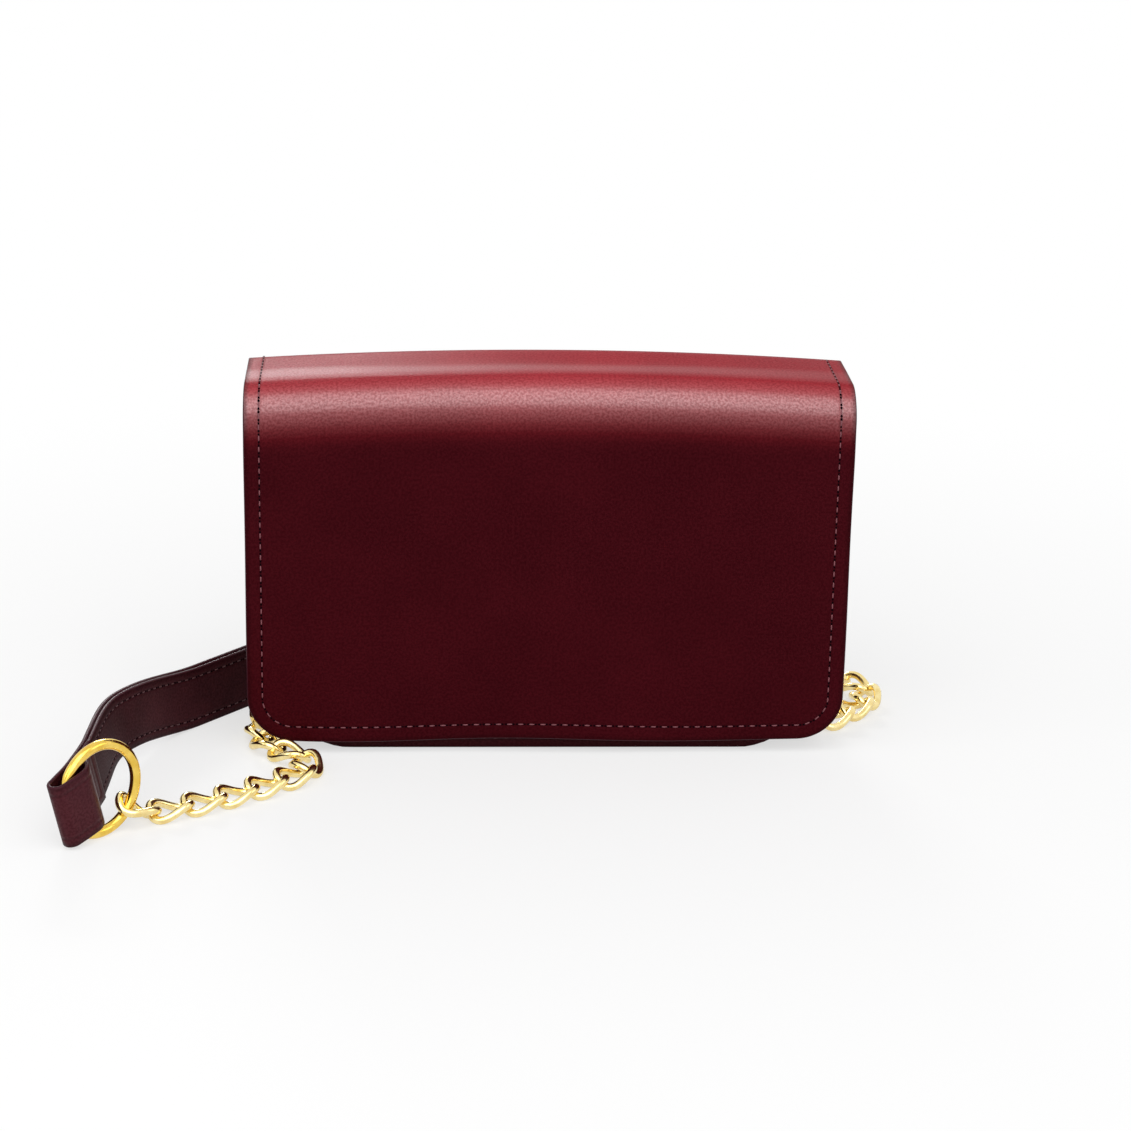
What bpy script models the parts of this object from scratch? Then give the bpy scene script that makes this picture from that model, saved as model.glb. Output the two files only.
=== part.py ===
"""Leather flap bag with a chain and leather shoulder strap, as it stands on a table.

Units are metres and +Z is up. The front of the bag faces -Y. The origin is the middle of
the front panel's bottom edge, on the surface that the bag stands on. The strap stands on
its edge around the back of the bag, with a chain at each end that leads to a D-ring.
"""

from math import atan2, ceil, cos, hypot, pi, radians, sin, sqrt

import bmesh
import bpy
from mathutils import Vector

# Leather, board and lining thicknesses, and the seam gap kept between two pieces
PANEL_LEATHER = 0.0016
FLAP_LEATHER = 0.0015
GUSSET_LEATHER = 0.0014
TAB_LEATHER = 0.0015
LINING = 0.0008
FLAP_LINING = 0.0011
BOARD = 0.0011
GAP = 0.0003
FOLD_GAP = 0.0008

# Body of the bag: outer size of the two panels, and how far their seams stand proud
BODY_WIDTH = 0.209
BODY_DEPTH = 0.0434
BODY_HEIGHT = 0.137
BODY_CORNER = 0.030
FLANGE = 0.0075
LINING_DROP = 0.0015

# Flap: it covers the whole front and is a little wider than the body
FLAP_OVERHANG = 0.0105
FLAP_RISE = 0.0085
FLAP_ARCH = 0.0038
FLAP_LIFT = 0.006
FLAP_CORNER = 0.017
FLAP_FRONT_ROLL = 0.013
FLAP_BACK_ROLL = 0.0035
LINING_INSET = 0.0004
LINING_SETBACK = 0.002
FLARE_RISE = 0.026

# Slip pocket on the back lining
POCKET_WIDTH = 0.150
POCKET_HEIGHT = 0.078
POCKET_FLOOR = 0.022
POCKET_CORNER = 0.010

# Magnetic snap between the flap lining and the front panel
SNAP_RADIUS = 0.0072
SNAP_HEIGHT = 0.034
SOCKET_THICKNESS = 0.0024
SOCKET_WELL_RADIUS = 0.0034
SOCKET_WELL_DEPTH = 0.0017
STUD_THICKNESS = 0.0009
STUD_STUB_RADIUS = 0.0022
STUD_STUB_LENGTH = 0.0014
SNAP_EDGE = 0.0005
WASHER_HOLE_RADIUS = 0.0020

# D-rings, the tabs that carry them and the tabs' rivets
DRING_WIRE = 0.0026
DRING_INSIDE = 0.014
DRING_LEG = 0.002
DRING_CORNER = 0.0014
DRING_DROP = 0.029
DRING_TILT = radians(15)
HANG_TURN = radians(56)
TAB_WIDTH = 0.0104
TAB_LENGTH = 0.024
RIVET_RISE = 0.015
RIVET_CAP_RADIUS = 0.0040
RIVET_CAP_HEIGHT = 0.0014
RIVET_SHANK_RADIUS = 0.0015

# Shoulder strap: two layers stitched together, standing on their edge
STRAP_WIDTH = 0.025
STRAP_LEATHER = 0.0015
STRAP_LINING = 0.0013
STRAP_LINING_INSET = 0.0006
LOOP_CLEARANCE = 0.0004
LEAF_START = 0.013
LEAF_LENGTH = 0.013
LINING_START = 0.017
END_RAMP = 0.070
LOOP_LEAN = radians(15)
LEAN_START = 0.020
LEAN_END = 0.115
STRAP_STEP = 0.0078
LOOP_STEP = 0.0018

# Round rings that join the strap to the chains
RING_DIAMETER = 0.0375
RING_WIRE = 0.0040

# Twisted curb chain
LINK_LENGTH = 0.0196
LINK_WIDTH = 0.0134
LINK_WIRE = 0.0031
LINK_TWIST = radians(38)
LINK_SEAT = 0.0005
LINK_POINTS = 12
WIRE_SIDES = 6
HOOK_TURN = radians(38)
HOOK_CLEARANCE = 0.0009

# Roundness of arcs, turned pieces and rings
ARC_STEPS = 4
TURN_STEPS = 28
RING_STEPS = 32
CURVE_SAMPLES = 24
BISECTIONS = 30
CUT_OVERRUN = 0.002

# Places that follow from the sizes above
FRONT_FACE = -PANEL_LEATHER / 2
BACK_FACE = FRONT_FACE + BODY_DEPTH
FLAP_WIDTH = BODY_WIDTH + 2 * FLAP_OVERHANG
FLAP_TOP = BODY_HEIGHT + FLAP_RISE
SNAP_STACK = STUD_THICKNESS + SOCKET_THICKNESS + 3 * GAP
FLAP_INNER_Y = FRONT_FACE - SNAP_STACK
FLAP_FRONT_Y = FLAP_INNER_Y - FLAP_LINING - GAP - FLAP_LEATHER
KNUCKLE_Y = BACK_FACE - FLAP_LEATHER / 2
KNUCKLE_HEIGHT = FLAP_TOP - FLAP_BACK_ROLL
WEB_HALF = BODY_WIDTH / 2 - FLANGE
WEB_CORNER = BODY_CORNER - FLANGE
GUSSET_MIDDLE = (FRONT_FACE + BACK_FACE) / 2
TAB_GAP = GUSSET_LEATHER + GAP + LINING
DRING_BAR_X = WEB_HALF + GAP + TAB_LEATHER + GAP + DRING_WIRE / 2
DRING_BAR_HEIGHT = BODY_HEIGHT - DRING_DROP
DRING_HALF = (DRING_INSIDE + DRING_WIRE) / 2
RING_RADIUS = (RING_DIAMETER - RING_WIRE) / 2
RING_HEIGHT = RING_DIAMETER / 2
END_LIFT = RING_HEIGHT - STRAP_WIDTH / 2
LINK_A = (LINK_LENGTH - LINK_WIRE) / 2
LINK_B = (LINK_WIDTH - LINK_WIRE) / 2
LINK_RISE = LINK_B * sin(LINK_TWIST) / cos(LINK_TWIST) / 2
LINK_HOOK = (LINK_WIRE - LINK_SEAT) / 2
CHAIN_REST = LINK_RISE + LINK_WIRE / 2

# Places of the strap's ends and routes on the table, as shares of the flap's width.
# Each point is (across, along, depth share): its depth share carries it from the flap's
# front face (0) to the back of the body (1), so the route follows the bag's own depth.
LEFT_RING_share = (-0.7170, -0.3500, 0.0)
RIGHT_RING_share = (0.2450, 0.2065, 1.0)
LEFT_RING_TURN = radians(45)
RIGHT_RING_TURN = radians(-55)
STRAP_ROUTE_shares = (
    (-0.7350, -0.2350, 0.0),
    (-0.7240, -0.1170, 0.0),
    (-0.6930, -0.0330, 0.0),
    (-0.6350, 0.0830, 0.0),
    (-0.5350, 0.2070, 0.0),
    (-0.4250, 0.1150, 1.0),
    (-0.3550, 0.2370, 1.0),
    (-0.2950, 0.3800, 1.0),
    (-0.1950, 0.4890, 1.0),
    (-0.0550, 0.5330, 1.0),
    (0.0750, 0.4890, 1.0),
    (0.1370, 0.3930, 1.0),
)
LEFT_CHAIN_shares = (
    (-0.4900, 0.0850, 0.0),
    (-0.4780, 0.0250, 0.0),
    (-0.4500, -0.0250, 0.0),
    (-0.4080, -0.0560, 0.0),
    (-0.3960, -0.0960, 0.0),
    (-0.4350, -0.1420, 0.0),
    (-0.5000, -0.2000, 0.0),
    (-0.5700, -0.2500, 0.0),
    (-0.6420, -0.2900, 0.0),
)
RIGHT_CHAIN_shares = (
    (0.4850, 0.1100, 0.0),
    (0.5250, 0.1500, 0.0),
    (0.5700, 0.2000, 0.0),
    (0.5800, 0.0550, 1.0),
    (0.5350, 0.1080, 1.0),
    (0.4700, 0.1290, 1.0),
    (0.4000, 0.1240, 1.0),
    (0.3300, 0.1330, 1.0),
)

# Heights of the hanging chain as shares of the D-ring's, the stretch of the chain over
# which its links turn flat, and the limits of the push that makes whole links fit
HANG_shares = (0.72, 0.42, 0.16)
TURNOVER_START_share = 0.20
TURNOVER_END_share = 0.45
SLACK_LIMIT_shares = (0.25, -0.25)

# Colours read from the leather, the lining and the two golds
BURGUNDY = (0.085, 0.008, 0.016)
BURGUNDY_TOP = (0.115, 0.011, 0.020)
STRAP_INSIDE = (0.080, 0.022, 0.026)
LINING_BROWN = (0.050, 0.018, 0.016)
BOARD_GREY = (0.180, 0.150, 0.120)
DEEP_GOLD = (0.830, 0.560, 0.130)
PALE_GOLD = (0.860, 0.700, 0.400)


def clear_scene():
    """Remove every object that the file starts with."""
    for obj in list(bpy.data.objects):
        bpy.data.objects.remove(obj, do_unlink=True)


def make_material(name, colour, roughness, metallic=0.0):
    """Return a Principled material."""
    mat = bpy.data.materials.new(name)
    mat.use_nodes = True
    shader = mat.node_tree.nodes["Principled BSDF"]
    shader.inputs["Base Color"].default_value = (*colour, 1.0)
    shader.inputs["Roughness"].default_value = roughness
    shader.inputs["Metallic"].default_value = metallic
    return mat


def link_object(name, bm, mat, smooth=None):
    """Turn a bmesh into a named object whose faces point outwards."""
    bmesh.ops.recalc_face_normals(bm, faces=bm.faces)
    mesh = bpy.data.meshes.new(name)
    bm.to_mesh(mesh)
    bm.free()
    if mat:
        mesh.materials.append(mat)
    if smooth:
        mesh.shade_smooth()
        mesh.set_sharp_from_angle(angle=smooth)
    obj = bpy.data.objects.new(name, mesh)
    bpy.context.scene.collection.objects.link(obj)
    return obj


def arc(centre, radius, start, end, steps=ARC_STEPS):
    """Return points of an arc in a plane, ends included, angles in degrees."""
    turns = [radians(start + (end - start) * k / steps) for k in range(steps + 1)]
    return [(centre[0] + radius * cos(t), centre[1] + radius * sin(t)) for t in turns]


def flap_arch(x):
    """Return how far the flap's top rises over its side edges at x."""
    return FLAP_ARCH * (1 - (2 * x / FLAP_WIDTH) ** 2)


def rounded_outline(half, bottom, top, radius):
    """Return an outline in X and Z with square top corners and round bottom ones."""
    points = arc((radius - half, bottom + radius), radius, 180, 270)
    points += arc((half - radius, bottom + radius), radius, 270, 360)
    return points + [(half, top), (-half, top)]


def plate(name, outline, front, back, mat):
    """Make a flat piece from an outline in X and Z, between two depths."""
    bm = bmesh.new()
    face = bm.faces.new([bm.verts.new((x, front, z)) for x, z in outline])
    grown = bmesh.ops.extrude_face_region(bm, geom=[face])["geom"]
    moved = [item for item in grown if isinstance(item, bmesh.types.BMVert)]
    bmesh.ops.translate(bm, verts=moved, vec=(0, back - front, 0))
    return link_object(name, bm, mat)


def loft(name, sections, mat, closed=False, smooth=None):
    """Join rings of points, all of one count, into a solid with ends capped."""
    bm = bmesh.new()
    rings = [[bm.verts.new(point) for point in section] for section in sections]
    pairs = list(zip(rings, rings[1:] + rings[:1])) if closed else list(zip(rings, rings[1:]))
    for first, second in pairs:
        for k in range(len(first)):
            after = (k + 1) % len(first)
            bm.faces.new((first[k], first[after], second[after], second[k]))
    if not closed:
        bm.faces.new(rings[0][::-1])
        bm.faces.new(rings[-1])
    return link_object(name, bm, mat, smooth)


def turned(name, profile, origin, axis, mat):
    """Spin a profile of (radius, height) about an axis through origin."""
    turn = Vector((0, 0, 1)).rotation_difference(Vector(axis))
    bm = bmesh.new()
    verts = [bm.verts.new((radius, 0, height)) for radius, height in profile]
    edges = [bm.edges.new(pair) for pair in zip(verts, verts[1:])]
    if min(radius for radius, height in profile) > 0:
        edges.append(bm.edges.new((verts[-1], verts[0])))
    bmesh.ops.spin(bm, geom=verts + edges, axis=(0, 0, 1), cent=(0, 0, 0),
                   angle=2 * pi, steps=TURN_STEPS, use_duplicate=False)
    bmesh.ops.remove_doubles(bm, verts=bm.verts, dist=GAP / 100)
    bmesh.ops.rotate(bm, verts=bm.verts, cent=(0, 0, 0), matrix=turn.to_matrix())
    bmesh.ops.translate(bm, verts=bm.verts, vec=origin)
    return link_object(name, bm, mat, radians(35))


def cut(obj, cutter):
    """Subtract a helper from an object, and keep the helper out of the model."""
    cutter.hide_render = True
    cutter.display_type = "WIRE"
    hole = obj.modifiers.new("hole", "BOOLEAN")
    hole.operation = "DIFFERENCE"
    hole.solver = "EXACT"
    hole.object = cutter


def drill(name, radius, start, length, axis):
    """Return a round cutter that runs from start along an axis."""
    profile = ((0, 0), (radius, 0), (radius, length), (0, length))
    return turned(name, profile, start, axis, None)


def smooth_route(points, step):
    """Read points at even steps from a smooth curve through the given ones."""
    points = [Vector(p) for p in points]
    ends = [2 * points[0] - points[1]] + points + [2 * points[-1] - points[-2]]
    fine = []
    for a, b, c, d in zip(ends, ends[1:], ends[2:], ends[3:]):
        for k in range(CURVE_SAMPLES):
            t = k / CURVE_SAMPLES
            fine.append(0.5 * (2 * b + (c - a) * t + (2 * a - 5 * b + 4 * c - d) * t * t
                               + (3 * b - a - 3 * c + d) * t ** 3))
    fine.append(points[-1])
    lengths = [0.0]
    for a, b in zip(fine, fine[1:]):
        lengths.append(lengths[-1] + (b - a).length)
    count = max(2, ceil(lengths[-1] / step))
    route = []
    k = 0
    for n in range(count + 1):
        target = lengths[-1] * n / count
        while k < len(lengths) - 2 and lengths[k + 1] < target:
            k += 1
        share = (target - lengths[k]) / max(lengths[k + 1] - lengths[k], GAP / 1000)
        route.append(fine[k].lerp(fine[k + 1], min(share, 1)))
    return route


def side_normals(route):
    """Return the unit normal on the left of a flat route at each point."""
    normals = []
    for k in range(len(route)):
        ahead = route[min(k + 1, len(route) - 1)] - route[max(k - 1, 0)]
        normals.append(Vector((-ahead.y, ahead.x)).normalized())
    return normals


def offset_route(route, distance):
    """Shift a flat route sideways, to its left where distance is positive."""
    return [p + n * distance for p, n in zip(route, side_normals(route))]


def ribbon(name, route, thickness, edges, place, mat):
    """Make a band: a flat route with a thickness, between two edge heights."""
    sections = []
    for p, n, (low, high) in zip(route, side_normals(route), edges):
        left = p + n * thickness / 2
        right = p - n * thickness / 2
        corners = ((left, low), (right, low), (right, high), (left, high))
        sections.append([place(q.x, q.y, w) for q, w in corners])
    return loft(name, sections, mat, smooth=radians(40))


def wire_ring(bm, points, wire):
    """Add a closed loop of wire that follows points, to a bmesh."""
    centre = sum(points, Vector()) / len(points)
    rings = []
    for k, point in enumerate(points):
        ahead = (points[(k + 1) % len(points)] - points[k - 1]).normalized()
        out = point - centre
        out = (out - ahead * out.dot(ahead)).normalized()
        up = ahead.cross(out)
        turns = [2 * pi * n / WIRE_SIDES for n in range(WIRE_SIDES)]
        rings.append([bm.verts.new(point + wire / 2 * (out * cos(t) + up * sin(t))) for t in turns])
    for first, second in zip(rings, rings[1:] + rings[:1]):
        for k in range(WIRE_SIDES):
            after = (k + 1) % WIRE_SIDES
            bm.faces.new((first[k], first[after], second[after], second[k]))


def place_on_table(shares):
    """Turn an (across, along, depth) share into X and Y on the table."""
    across, along, depth = shares
    y = FLAP_FRONT_Y + (BACK_FACE - FLAP_FRONT_Y) * depth
    return Vector((across * FLAP_WIDTH, y + along * FLAP_WIDTH))


def flap_columns():
    """Return the X places of the flap's sections, close together at the corners."""
    straight = FLAP_WIDTH / 2 - FLAP_CORNER
    right = [straight * k / ARC_STEPS for k in range(ARC_STEPS + 1)]
    right += [straight + FLAP_CORNER * sin(pi / 2 * k / ARC_STEPS) for k in range(1, ARC_STEPS + 1)]
    return [-x for x in right[:0:-1]] + right


def flap_bottom(x):
    """Return the height of the flap's lower edge at x, with its round corners."""
    beyond = max(0.0, abs(x) - (FLAP_WIDTH / 2 - FLAP_CORNER))
    return FLAP_LIFT + FLAP_CORNER - sqrt(max(0.0, FLAP_CORNER ** 2 - beyond ** 2))


def flap_section(x, depth, thickness, rear):
    """Return one closed section of a flap layer in Y and Z.

    depth is how far the layer lies under the flap's outer face. rear is where the layer
    starts, behind the back roll's centre, or None for the layer that makes the knuckle.
    """
    lift = flap_arch(x)
    top = FLAP_TOP + lift
    front = (FLAP_FRONT_Y + FLAP_FRONT_ROLL, top - FLAP_FRONT_ROLL)
    outer = FLAP_FRONT_ROLL - depth
    inner = outer - thickness
    bottom = flap_bottom(x)
    face = FLAP_FRONT_Y + depth
    over = arc(front, outer, 90, 180) + [(face, bottom), (face + thickness, bottom)]
    over += arc(front, inner, 180, 90)
    if rear is not None:
        return [(rear, top - depth)] + over + [(rear, top - depth - thickness)]
    back = (BACK_FACE - FLAP_BACK_ROLL, KNUCKLE_HEIGHT + lift)
    over = arc(back, FLAP_BACK_ROLL, 0, 90) + over
    over += arc(back, FLAP_BACK_ROLL - thickness, 90, 0)
    return over + arc((KNUCKLE_Y, KNUCKLE_HEIGHT + lift), thickness / 2, 180, 360)[1:-1]


def flap_layer(name, depth, thickness, inset, rear, mat):
    """Make one layer of the flap: over the top, round the front roll and down."""
    narrow = 1 - 2 * inset / FLAP_WIDTH
    sections = []
    for x in flap_columns():
        section = flap_section(x, depth, thickness, rear)
        sections.append([(x * narrow, y, z) for y, z in section])
    return loft(name, sections, mat, smooth=radians(30))


def back_outline():
    """Return the back panel's outline: the body's corners, flared to meet the flap."""
    half = BODY_WIDTH / 2
    wide = FLAP_WIDTH / 2
    top = KNUCKLE_HEIGHT - FLAP_LEATHER / 2 - FOLD_GAP
    points = arc((BODY_CORNER - half, BODY_CORNER), BODY_CORNER, 180, 270)
    points += arc((half - BODY_CORNER, BODY_CORNER), BODY_CORNER, 270, 360)
    flare = []
    for k in range(ARC_STEPS + 1):
        t = k / ARC_STEPS
        flare.append((half + (wide - half) * t * t * (3 - 2 * t), top - FLARE_RISE * (1 - t)))
    over = [wide * (1 - 2 * k / (2 * ARC_STEPS)) for k in range(1, 2 * ARC_STEPS)]
    points += flare + [(x, top + flap_arch(x)) for x in over]
    return points + [(-x, z) for x, z in flare[::-1]]


def channel(name, section, mat):
    """Sweep a section of (outward, Y) points along the gusset's U, ends capped.

    Outward distances are measured from the outer face of the gusset's web.
    """
    low = FLANGE + WEB_CORNER
    side = WEB_HALF - WEB_CORNER
    stations = [((-WEB_HALF, BODY_HEIGHT), (-1, 0))]
    for centre, start in (((-side, low), 180), ((side, low), 270)):
        for k in range(ARC_STEPS + 1):
            turn = radians(start + 90 * k / ARC_STEPS)
            normal = (cos(turn), sin(turn))
            spot = (centre[0] + WEB_CORNER * normal[0], centre[1] + WEB_CORNER * normal[1])
            stations.append((spot, normal))
    stations.append(((WEB_HALF, BODY_HEIGHT), (1, 0)))
    sections = []
    for (x, z), (nx, nz) in stations:
        sections.append([(x + nx * out, y, z + nz * out) for out, y in section])
    return loft(name, sections, mat, smooth=radians(30))


def gusset_section():
    """Return the gusset's hat section: a web with a flange turned out at each side."""
    t = GUSSET_LEATHER
    front = FRONT_FACE + PANEL_LEATHER + GAP
    back = BACK_FACE - PANEL_LEATHER - GAP
    return (
        (FLANGE, front), (FLANGE, front + t), (t, front + t), (0, front + 2 * t),
        (0, back - 2 * t), (t, back - t), (FLANGE, back - t), (FLANGE, back),
        (0, back), (-t, back - t), (-t, front + t), (0, front),
    )


def make_body(leather, lining, board, brass):
    """Make the panels, gusset, boards, linings and pocket of the bag's body."""
    half = BODY_WIDTH / 2
    plate("front_panel", rounded_outline(half, 0, BODY_HEIGHT, BODY_CORNER),
          FRONT_FACE, FRONT_FACE + PANEL_LEATHER, leather)
    plate("back_panel", back_outline(), BACK_FACE - PANEL_LEATHER, BACK_FACE, leather)
    gusset = channel("gusset", gusset_section(), leather)

    inside = WEB_HALF - GUSSET_LEATHER - GAP
    floor = FLANGE + GUSSET_LEATHER + GAP
    corner = WEB_CORNER - GUSSET_LEATHER - GAP
    rim = BODY_HEIGHT - LINING_DROP
    inner = rounded_outline(inside, floor, rim, corner)
    front_board = FRONT_FACE + PANEL_LEATHER + GAP
    front_lining = front_board + BOARD + GAP
    back_board = BACK_FACE - PANEL_LEATHER - GAP
    back_lining = back_board - BOARD - GAP
    stiffener = plate("front_board", inner, front_board, front_board + BOARD, board)
    plate("back_board", inner, back_board - BOARD, back_board, board)
    plate("front_lining", inner, front_lining, front_lining + LINING, lining)
    plate("back_lining", inner, back_lining - LINING, back_lining, lining)
    skin = -GUSSET_LEATHER - GAP
    web_front = front_lining + LINING + GAP
    web_back = back_lining - LINING - GAP
    gusset_lining = channel("gusset_lining", (
        (skin, web_front), (skin, web_back), (skin - LINING, web_back), (skin - LINING, web_front),
    ), lining)
    pocket = rounded_outline(POCKET_WIDTH / 2, POCKET_FLOOR, POCKET_FLOOR + POCKET_HEIGHT, POCKET_CORNER)
    plate("slip_pocket", pocket, web_back - LINING, web_back, lining)

    cut(stiffener, drill("washer_seat", SNAP_RADIUS + GAP, (0, front_board - CUT_OVERRUN, SNAP_HEIGHT),
                         BOARD + 2 * CUT_OVERRUN, (0, 1, 0)))
    turned("snap_washer", (
        (WASHER_HOLE_RADIUS, 0), (SNAP_RADIUS, 0), (SNAP_RADIUS, BOARD), (WASHER_HOLE_RADIUS, BOARD),
    ), (0, front_board, SNAP_HEIGHT), (0, 1, 0), brass)
    return gusset, gusset_lining


def make_snap(brass):
    """Make the two halves of the magnetic snap, the well facing the stud."""
    well = SOCKET_WELL_RADIUS
    depth = SOCKET_THICKNESS - SOCKET_WELL_DEPTH
    rim = SOCKET_THICKNESS - SNAP_EDGE
    turned("snap_socket", (
        (0, 0), (SNAP_RADIUS, 0), (SNAP_RADIUS, rim), (SNAP_RADIUS - SNAP_EDGE, SOCKET_THICKNESS),
        (well + SNAP_EDGE, SOCKET_THICKNESS), (well, rim), (well, depth), (0, depth),
    ), (0, FRONT_FACE - GAP, SNAP_HEIGHT), (0, -1, 0), brass)
    stub = STUD_THICKNESS + STUD_STUB_LENGTH
    turned("snap_stud", (
        (0, 0), (SNAP_RADIUS - SNAP_EDGE, 0), (SNAP_RADIUS, STUD_THICKNESS / 2),
        (SNAP_RADIUS - SNAP_EDGE, STUD_THICKNESS), (STUD_STUB_RADIUS, STUD_THICKNESS),
        (STUD_STUB_RADIUS - SNAP_EDGE, stub), (0, stub),
    ), (0, FLAP_INNER_Y + GAP, SNAP_HEIGHT), (0, 1, 0), brass)


def make_flap(leather, lining):
    """Make the flap's leather, which ends in the knuckle at the back edge, and its lining."""
    flap_layer("flap", 0, FLAP_LEATHER, 0, None, leather)
    rear = BACK_FACE - FLAP_BACK_ROLL - LINING_SETBACK
    flap_layer("flap_lining", FLAP_LEATHER + GAP, FLAP_LINING, LINING_INSET, rear, lining)


def make_ring_tab(side, name, gusset, gusset_lining, leather, gold):
    """Make one D-ring with the leather tab that is folded round its bar and riveted on."""
    bar = Vector((side * DRING_BAR_X, GUSSET_MIDDLE, DRING_BAR_HEIGHT))
    wrap = DRING_WIRE / 2 + GAP + TAB_LEATHER / 2
    inner = DRING_BAR_X - wrap
    outer = inner + TAB_LEATHER + GAP
    top = DRING_BAR_HEIGHT + TAB_LENGTH
    join = DRING_BAR_HEIGHT + RIVET_RISE - RIVET_CAP_RADIUS
    fold = [Vector(p) for p in arc((DRING_BAR_X, DRING_BAR_HEIGHT), wrap, 180, 360, 2 * ARC_STEPS)]
    path = [Vector((inner, top)), Vector((inner, join))] + fold
    path += [Vector((outer, join)), Vector((outer, top))]
    low = GUSSET_MIDDLE - TAB_WIDTH / 2
    tab = ribbon(f"ring_tab_{name}", path, TAB_LEATHER, [(low, low + TAB_WIDTH)] * len(path),
                 lambda u, v, w: (side * u, w, v), leather)

    height = DRING_BAR_HEIGHT + RIVET_RISE
    start = WEB_HALF - TAB_GAP
    seat = outer + TAB_LEATHER / 2 + GAP
    hole = drill(f"rivet_hole_{name}", RIVET_SHANK_RADIUS + GAP,
                 (side * (start - CUT_OVERRUN), GUSSET_MIDDLE, height),
                 seat - start + 2 * CUT_OVERRUN, (side, 0, 0))
    for piece in (tab, gusset, gusset_lining):
        cut(piece, hole)
    inside = start - GAP
    dome = RIVET_CAP_RADIUS * cos(pi / 6)
    turned(f"tab_rivet_{name}", (
        (0, 0), (RIVET_CAP_RADIUS, 0), (RIVET_CAP_RADIUS, GUSSET_LEATHER / 2),
        (RIVET_SHANK_RADIUS, GUSSET_LEATHER / 2),
        (RIVET_SHANK_RADIUS, seat - inside + GUSSET_LEATHER / 2),
        (RIVET_CAP_RADIUS, seat - inside + GUSSET_LEATHER / 2),
        (dome, seat - inside + RIVET_CAP_HEIGHT), (0, seat - inside + GUSSET_LEATHER / 2 + RIVET_CAP_HEIGHT),
    ), (side * (inside - GUSSET_LEATHER / 2), GUSSET_MIDDLE, height), (side, 0, 0), gold)

    half = DRING_HALF
    flat = [(-half, -DRING_CORNER), (DRING_CORNER - half, 0), (0, 0), (half - DRING_CORNER, 0),
            (half, -DRING_CORNER)]
    flat += arc((0, -DRING_CORNER - DRING_LEG), half, 0, -180, 2 * ARC_STEPS)
    lean = Vector((side * sin(DRING_TILT), 0, cos(DRING_TILT)))
    bm = bmesh.new()
    wire_ring(bm, [bar + Vector((0, u, 0)) + Vector((-lean.x, 0, lean.z)) * v for u, v in flat],
              DRING_WIRE)
    link_object(f"d_ring_{name}", bm, gold, radians(50))
    drop = DRING_CORNER + DRING_LEG + half
    return bar + Vector((lean.x, 0, -lean.z)) * drop


class StrapEnd:
    """The round ring at one end of the strap and the leather loop that holds it.

    Local places are (along, toward) in the ring's own upright plane seen from above:
    along runs from the loop to the chain, toward points to the strap's inner side.
    A folded ring lies back against the strap, a straight one carries its line on.
    """

    def __init__(self, share, turn, folded):
        self.centre = place_on_table(share)
        self.along = Vector((cos(turn), sin(turn)))
        self.toward = Vector((sin(turn), -cos(turn)))
        self.folded = folded
        self.wrap_radius = RING_WIRE / 2 + LOOP_CLEARANCE + STRAP_LEATHER / 2

    def spot(self, along, toward):
        """Return the place on the table of a local pair."""
        return self.centre + self.along * along + self.toward * toward

    def approach(self):
        """Return the strap's route points by the ring, ending where its loop starts."""
        r = RING_RADIUS
        w = self.wrap_radius
        if self.folded:
            return [self.spot(0.40 * r, -0.86 * r), self.spot(-0.40 * r, -0.40 * r),
                    self.spot(-r, -w)]
        return [self.spot(-2.5 * r, -w / 2), self.spot(-1.7 * r, -w / 2), self.spot(-r, -w)]

    def wrap(self):
        """Return the loop round the ring's wire, from the outer side to the inner one."""
        r = RING_RADIUS
        w = self.wrap_radius
        if self.folded:
            bend = [self.spot(*p) for p in arc((-r, 0), w, 270, 90, 2 * ARC_STEPS)]
            return bend + [self.spot(-0.62 * r, w), self.spot(-0.34 * r, 0.85 * w),
                           self.spot(-0.15 * r, 0)]
        bend = arc((-0.40 * r - w, 0), w, 270, 450, 2 * ARC_STEPS)
        return [self.spot(-r, -w)] + [self.spot(*p) for p in bend] + [self.spot(-r, w)]

    def hook(self, turn):
        """Return the centre of the ring's wire at an angle below the level, in 3D."""
        spot = self.spot(RING_RADIUS * cos(turn), 0)
        return Vector((spot.x, spot.y, RING_HEIGHT - RING_RADIUS * sin(turn)))

    def make_ring(self, name, gold):
        """Make the round ring, upright, with its bottom on the table."""
        bm = bmesh.new()
        points = []
        for k in range(RING_STEPS):
            turn = 2 * pi * k / RING_STEPS
            spot = self.spot(RING_RADIUS * cos(turn), 0)
            points.append(Vector((spot.x, spot.y, RING_HEIGHT + RING_RADIUS * sin(turn))))
        wire_ring(bm, points, RING_WIRE)
        return link_object(f"o_ring_{name}", bm, gold, radians(50))


def strap_lift(distance):
    """Return how high the strap's lower edge stands at a distance from its end."""
    t = min(1.0, distance / END_RAMP)
    return END_LIFT * (1 - t * t * (3 - 2 * t))


def lean_end(obj, end):
    """Turn the strap's end in the plane of its ring, so that its loop sits low on it."""
    for vert in obj.data.vertices:
        flat = Vector((vert.co.x, vert.co.y)) - end.centre
        t = max(0.0, min(1.0, (flat.length - LEAN_START) / (LEAN_END - LEAN_START)))
        turn = LOOP_LEAN * (1 - t * t * (3 - 2 * t))
        along = flat.dot(end.along)
        rise = vert.co.z - RING_HEIGHT
        spot = end.spot(along * cos(turn) - rise * sin(turn), flat.dot(end.toward))
        vert.co = (spot.x, spot.y, RING_HEIGHT + along * sin(turn) + rise * cos(turn))


def route_lengths(route):
    """Return the length from the route's start to each of its points."""
    lengths = [0.0]
    for a, b in zip(route, route[1:]):
        lengths.append(lengths[-1] + (b - a).length)
    return lengths


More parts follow.
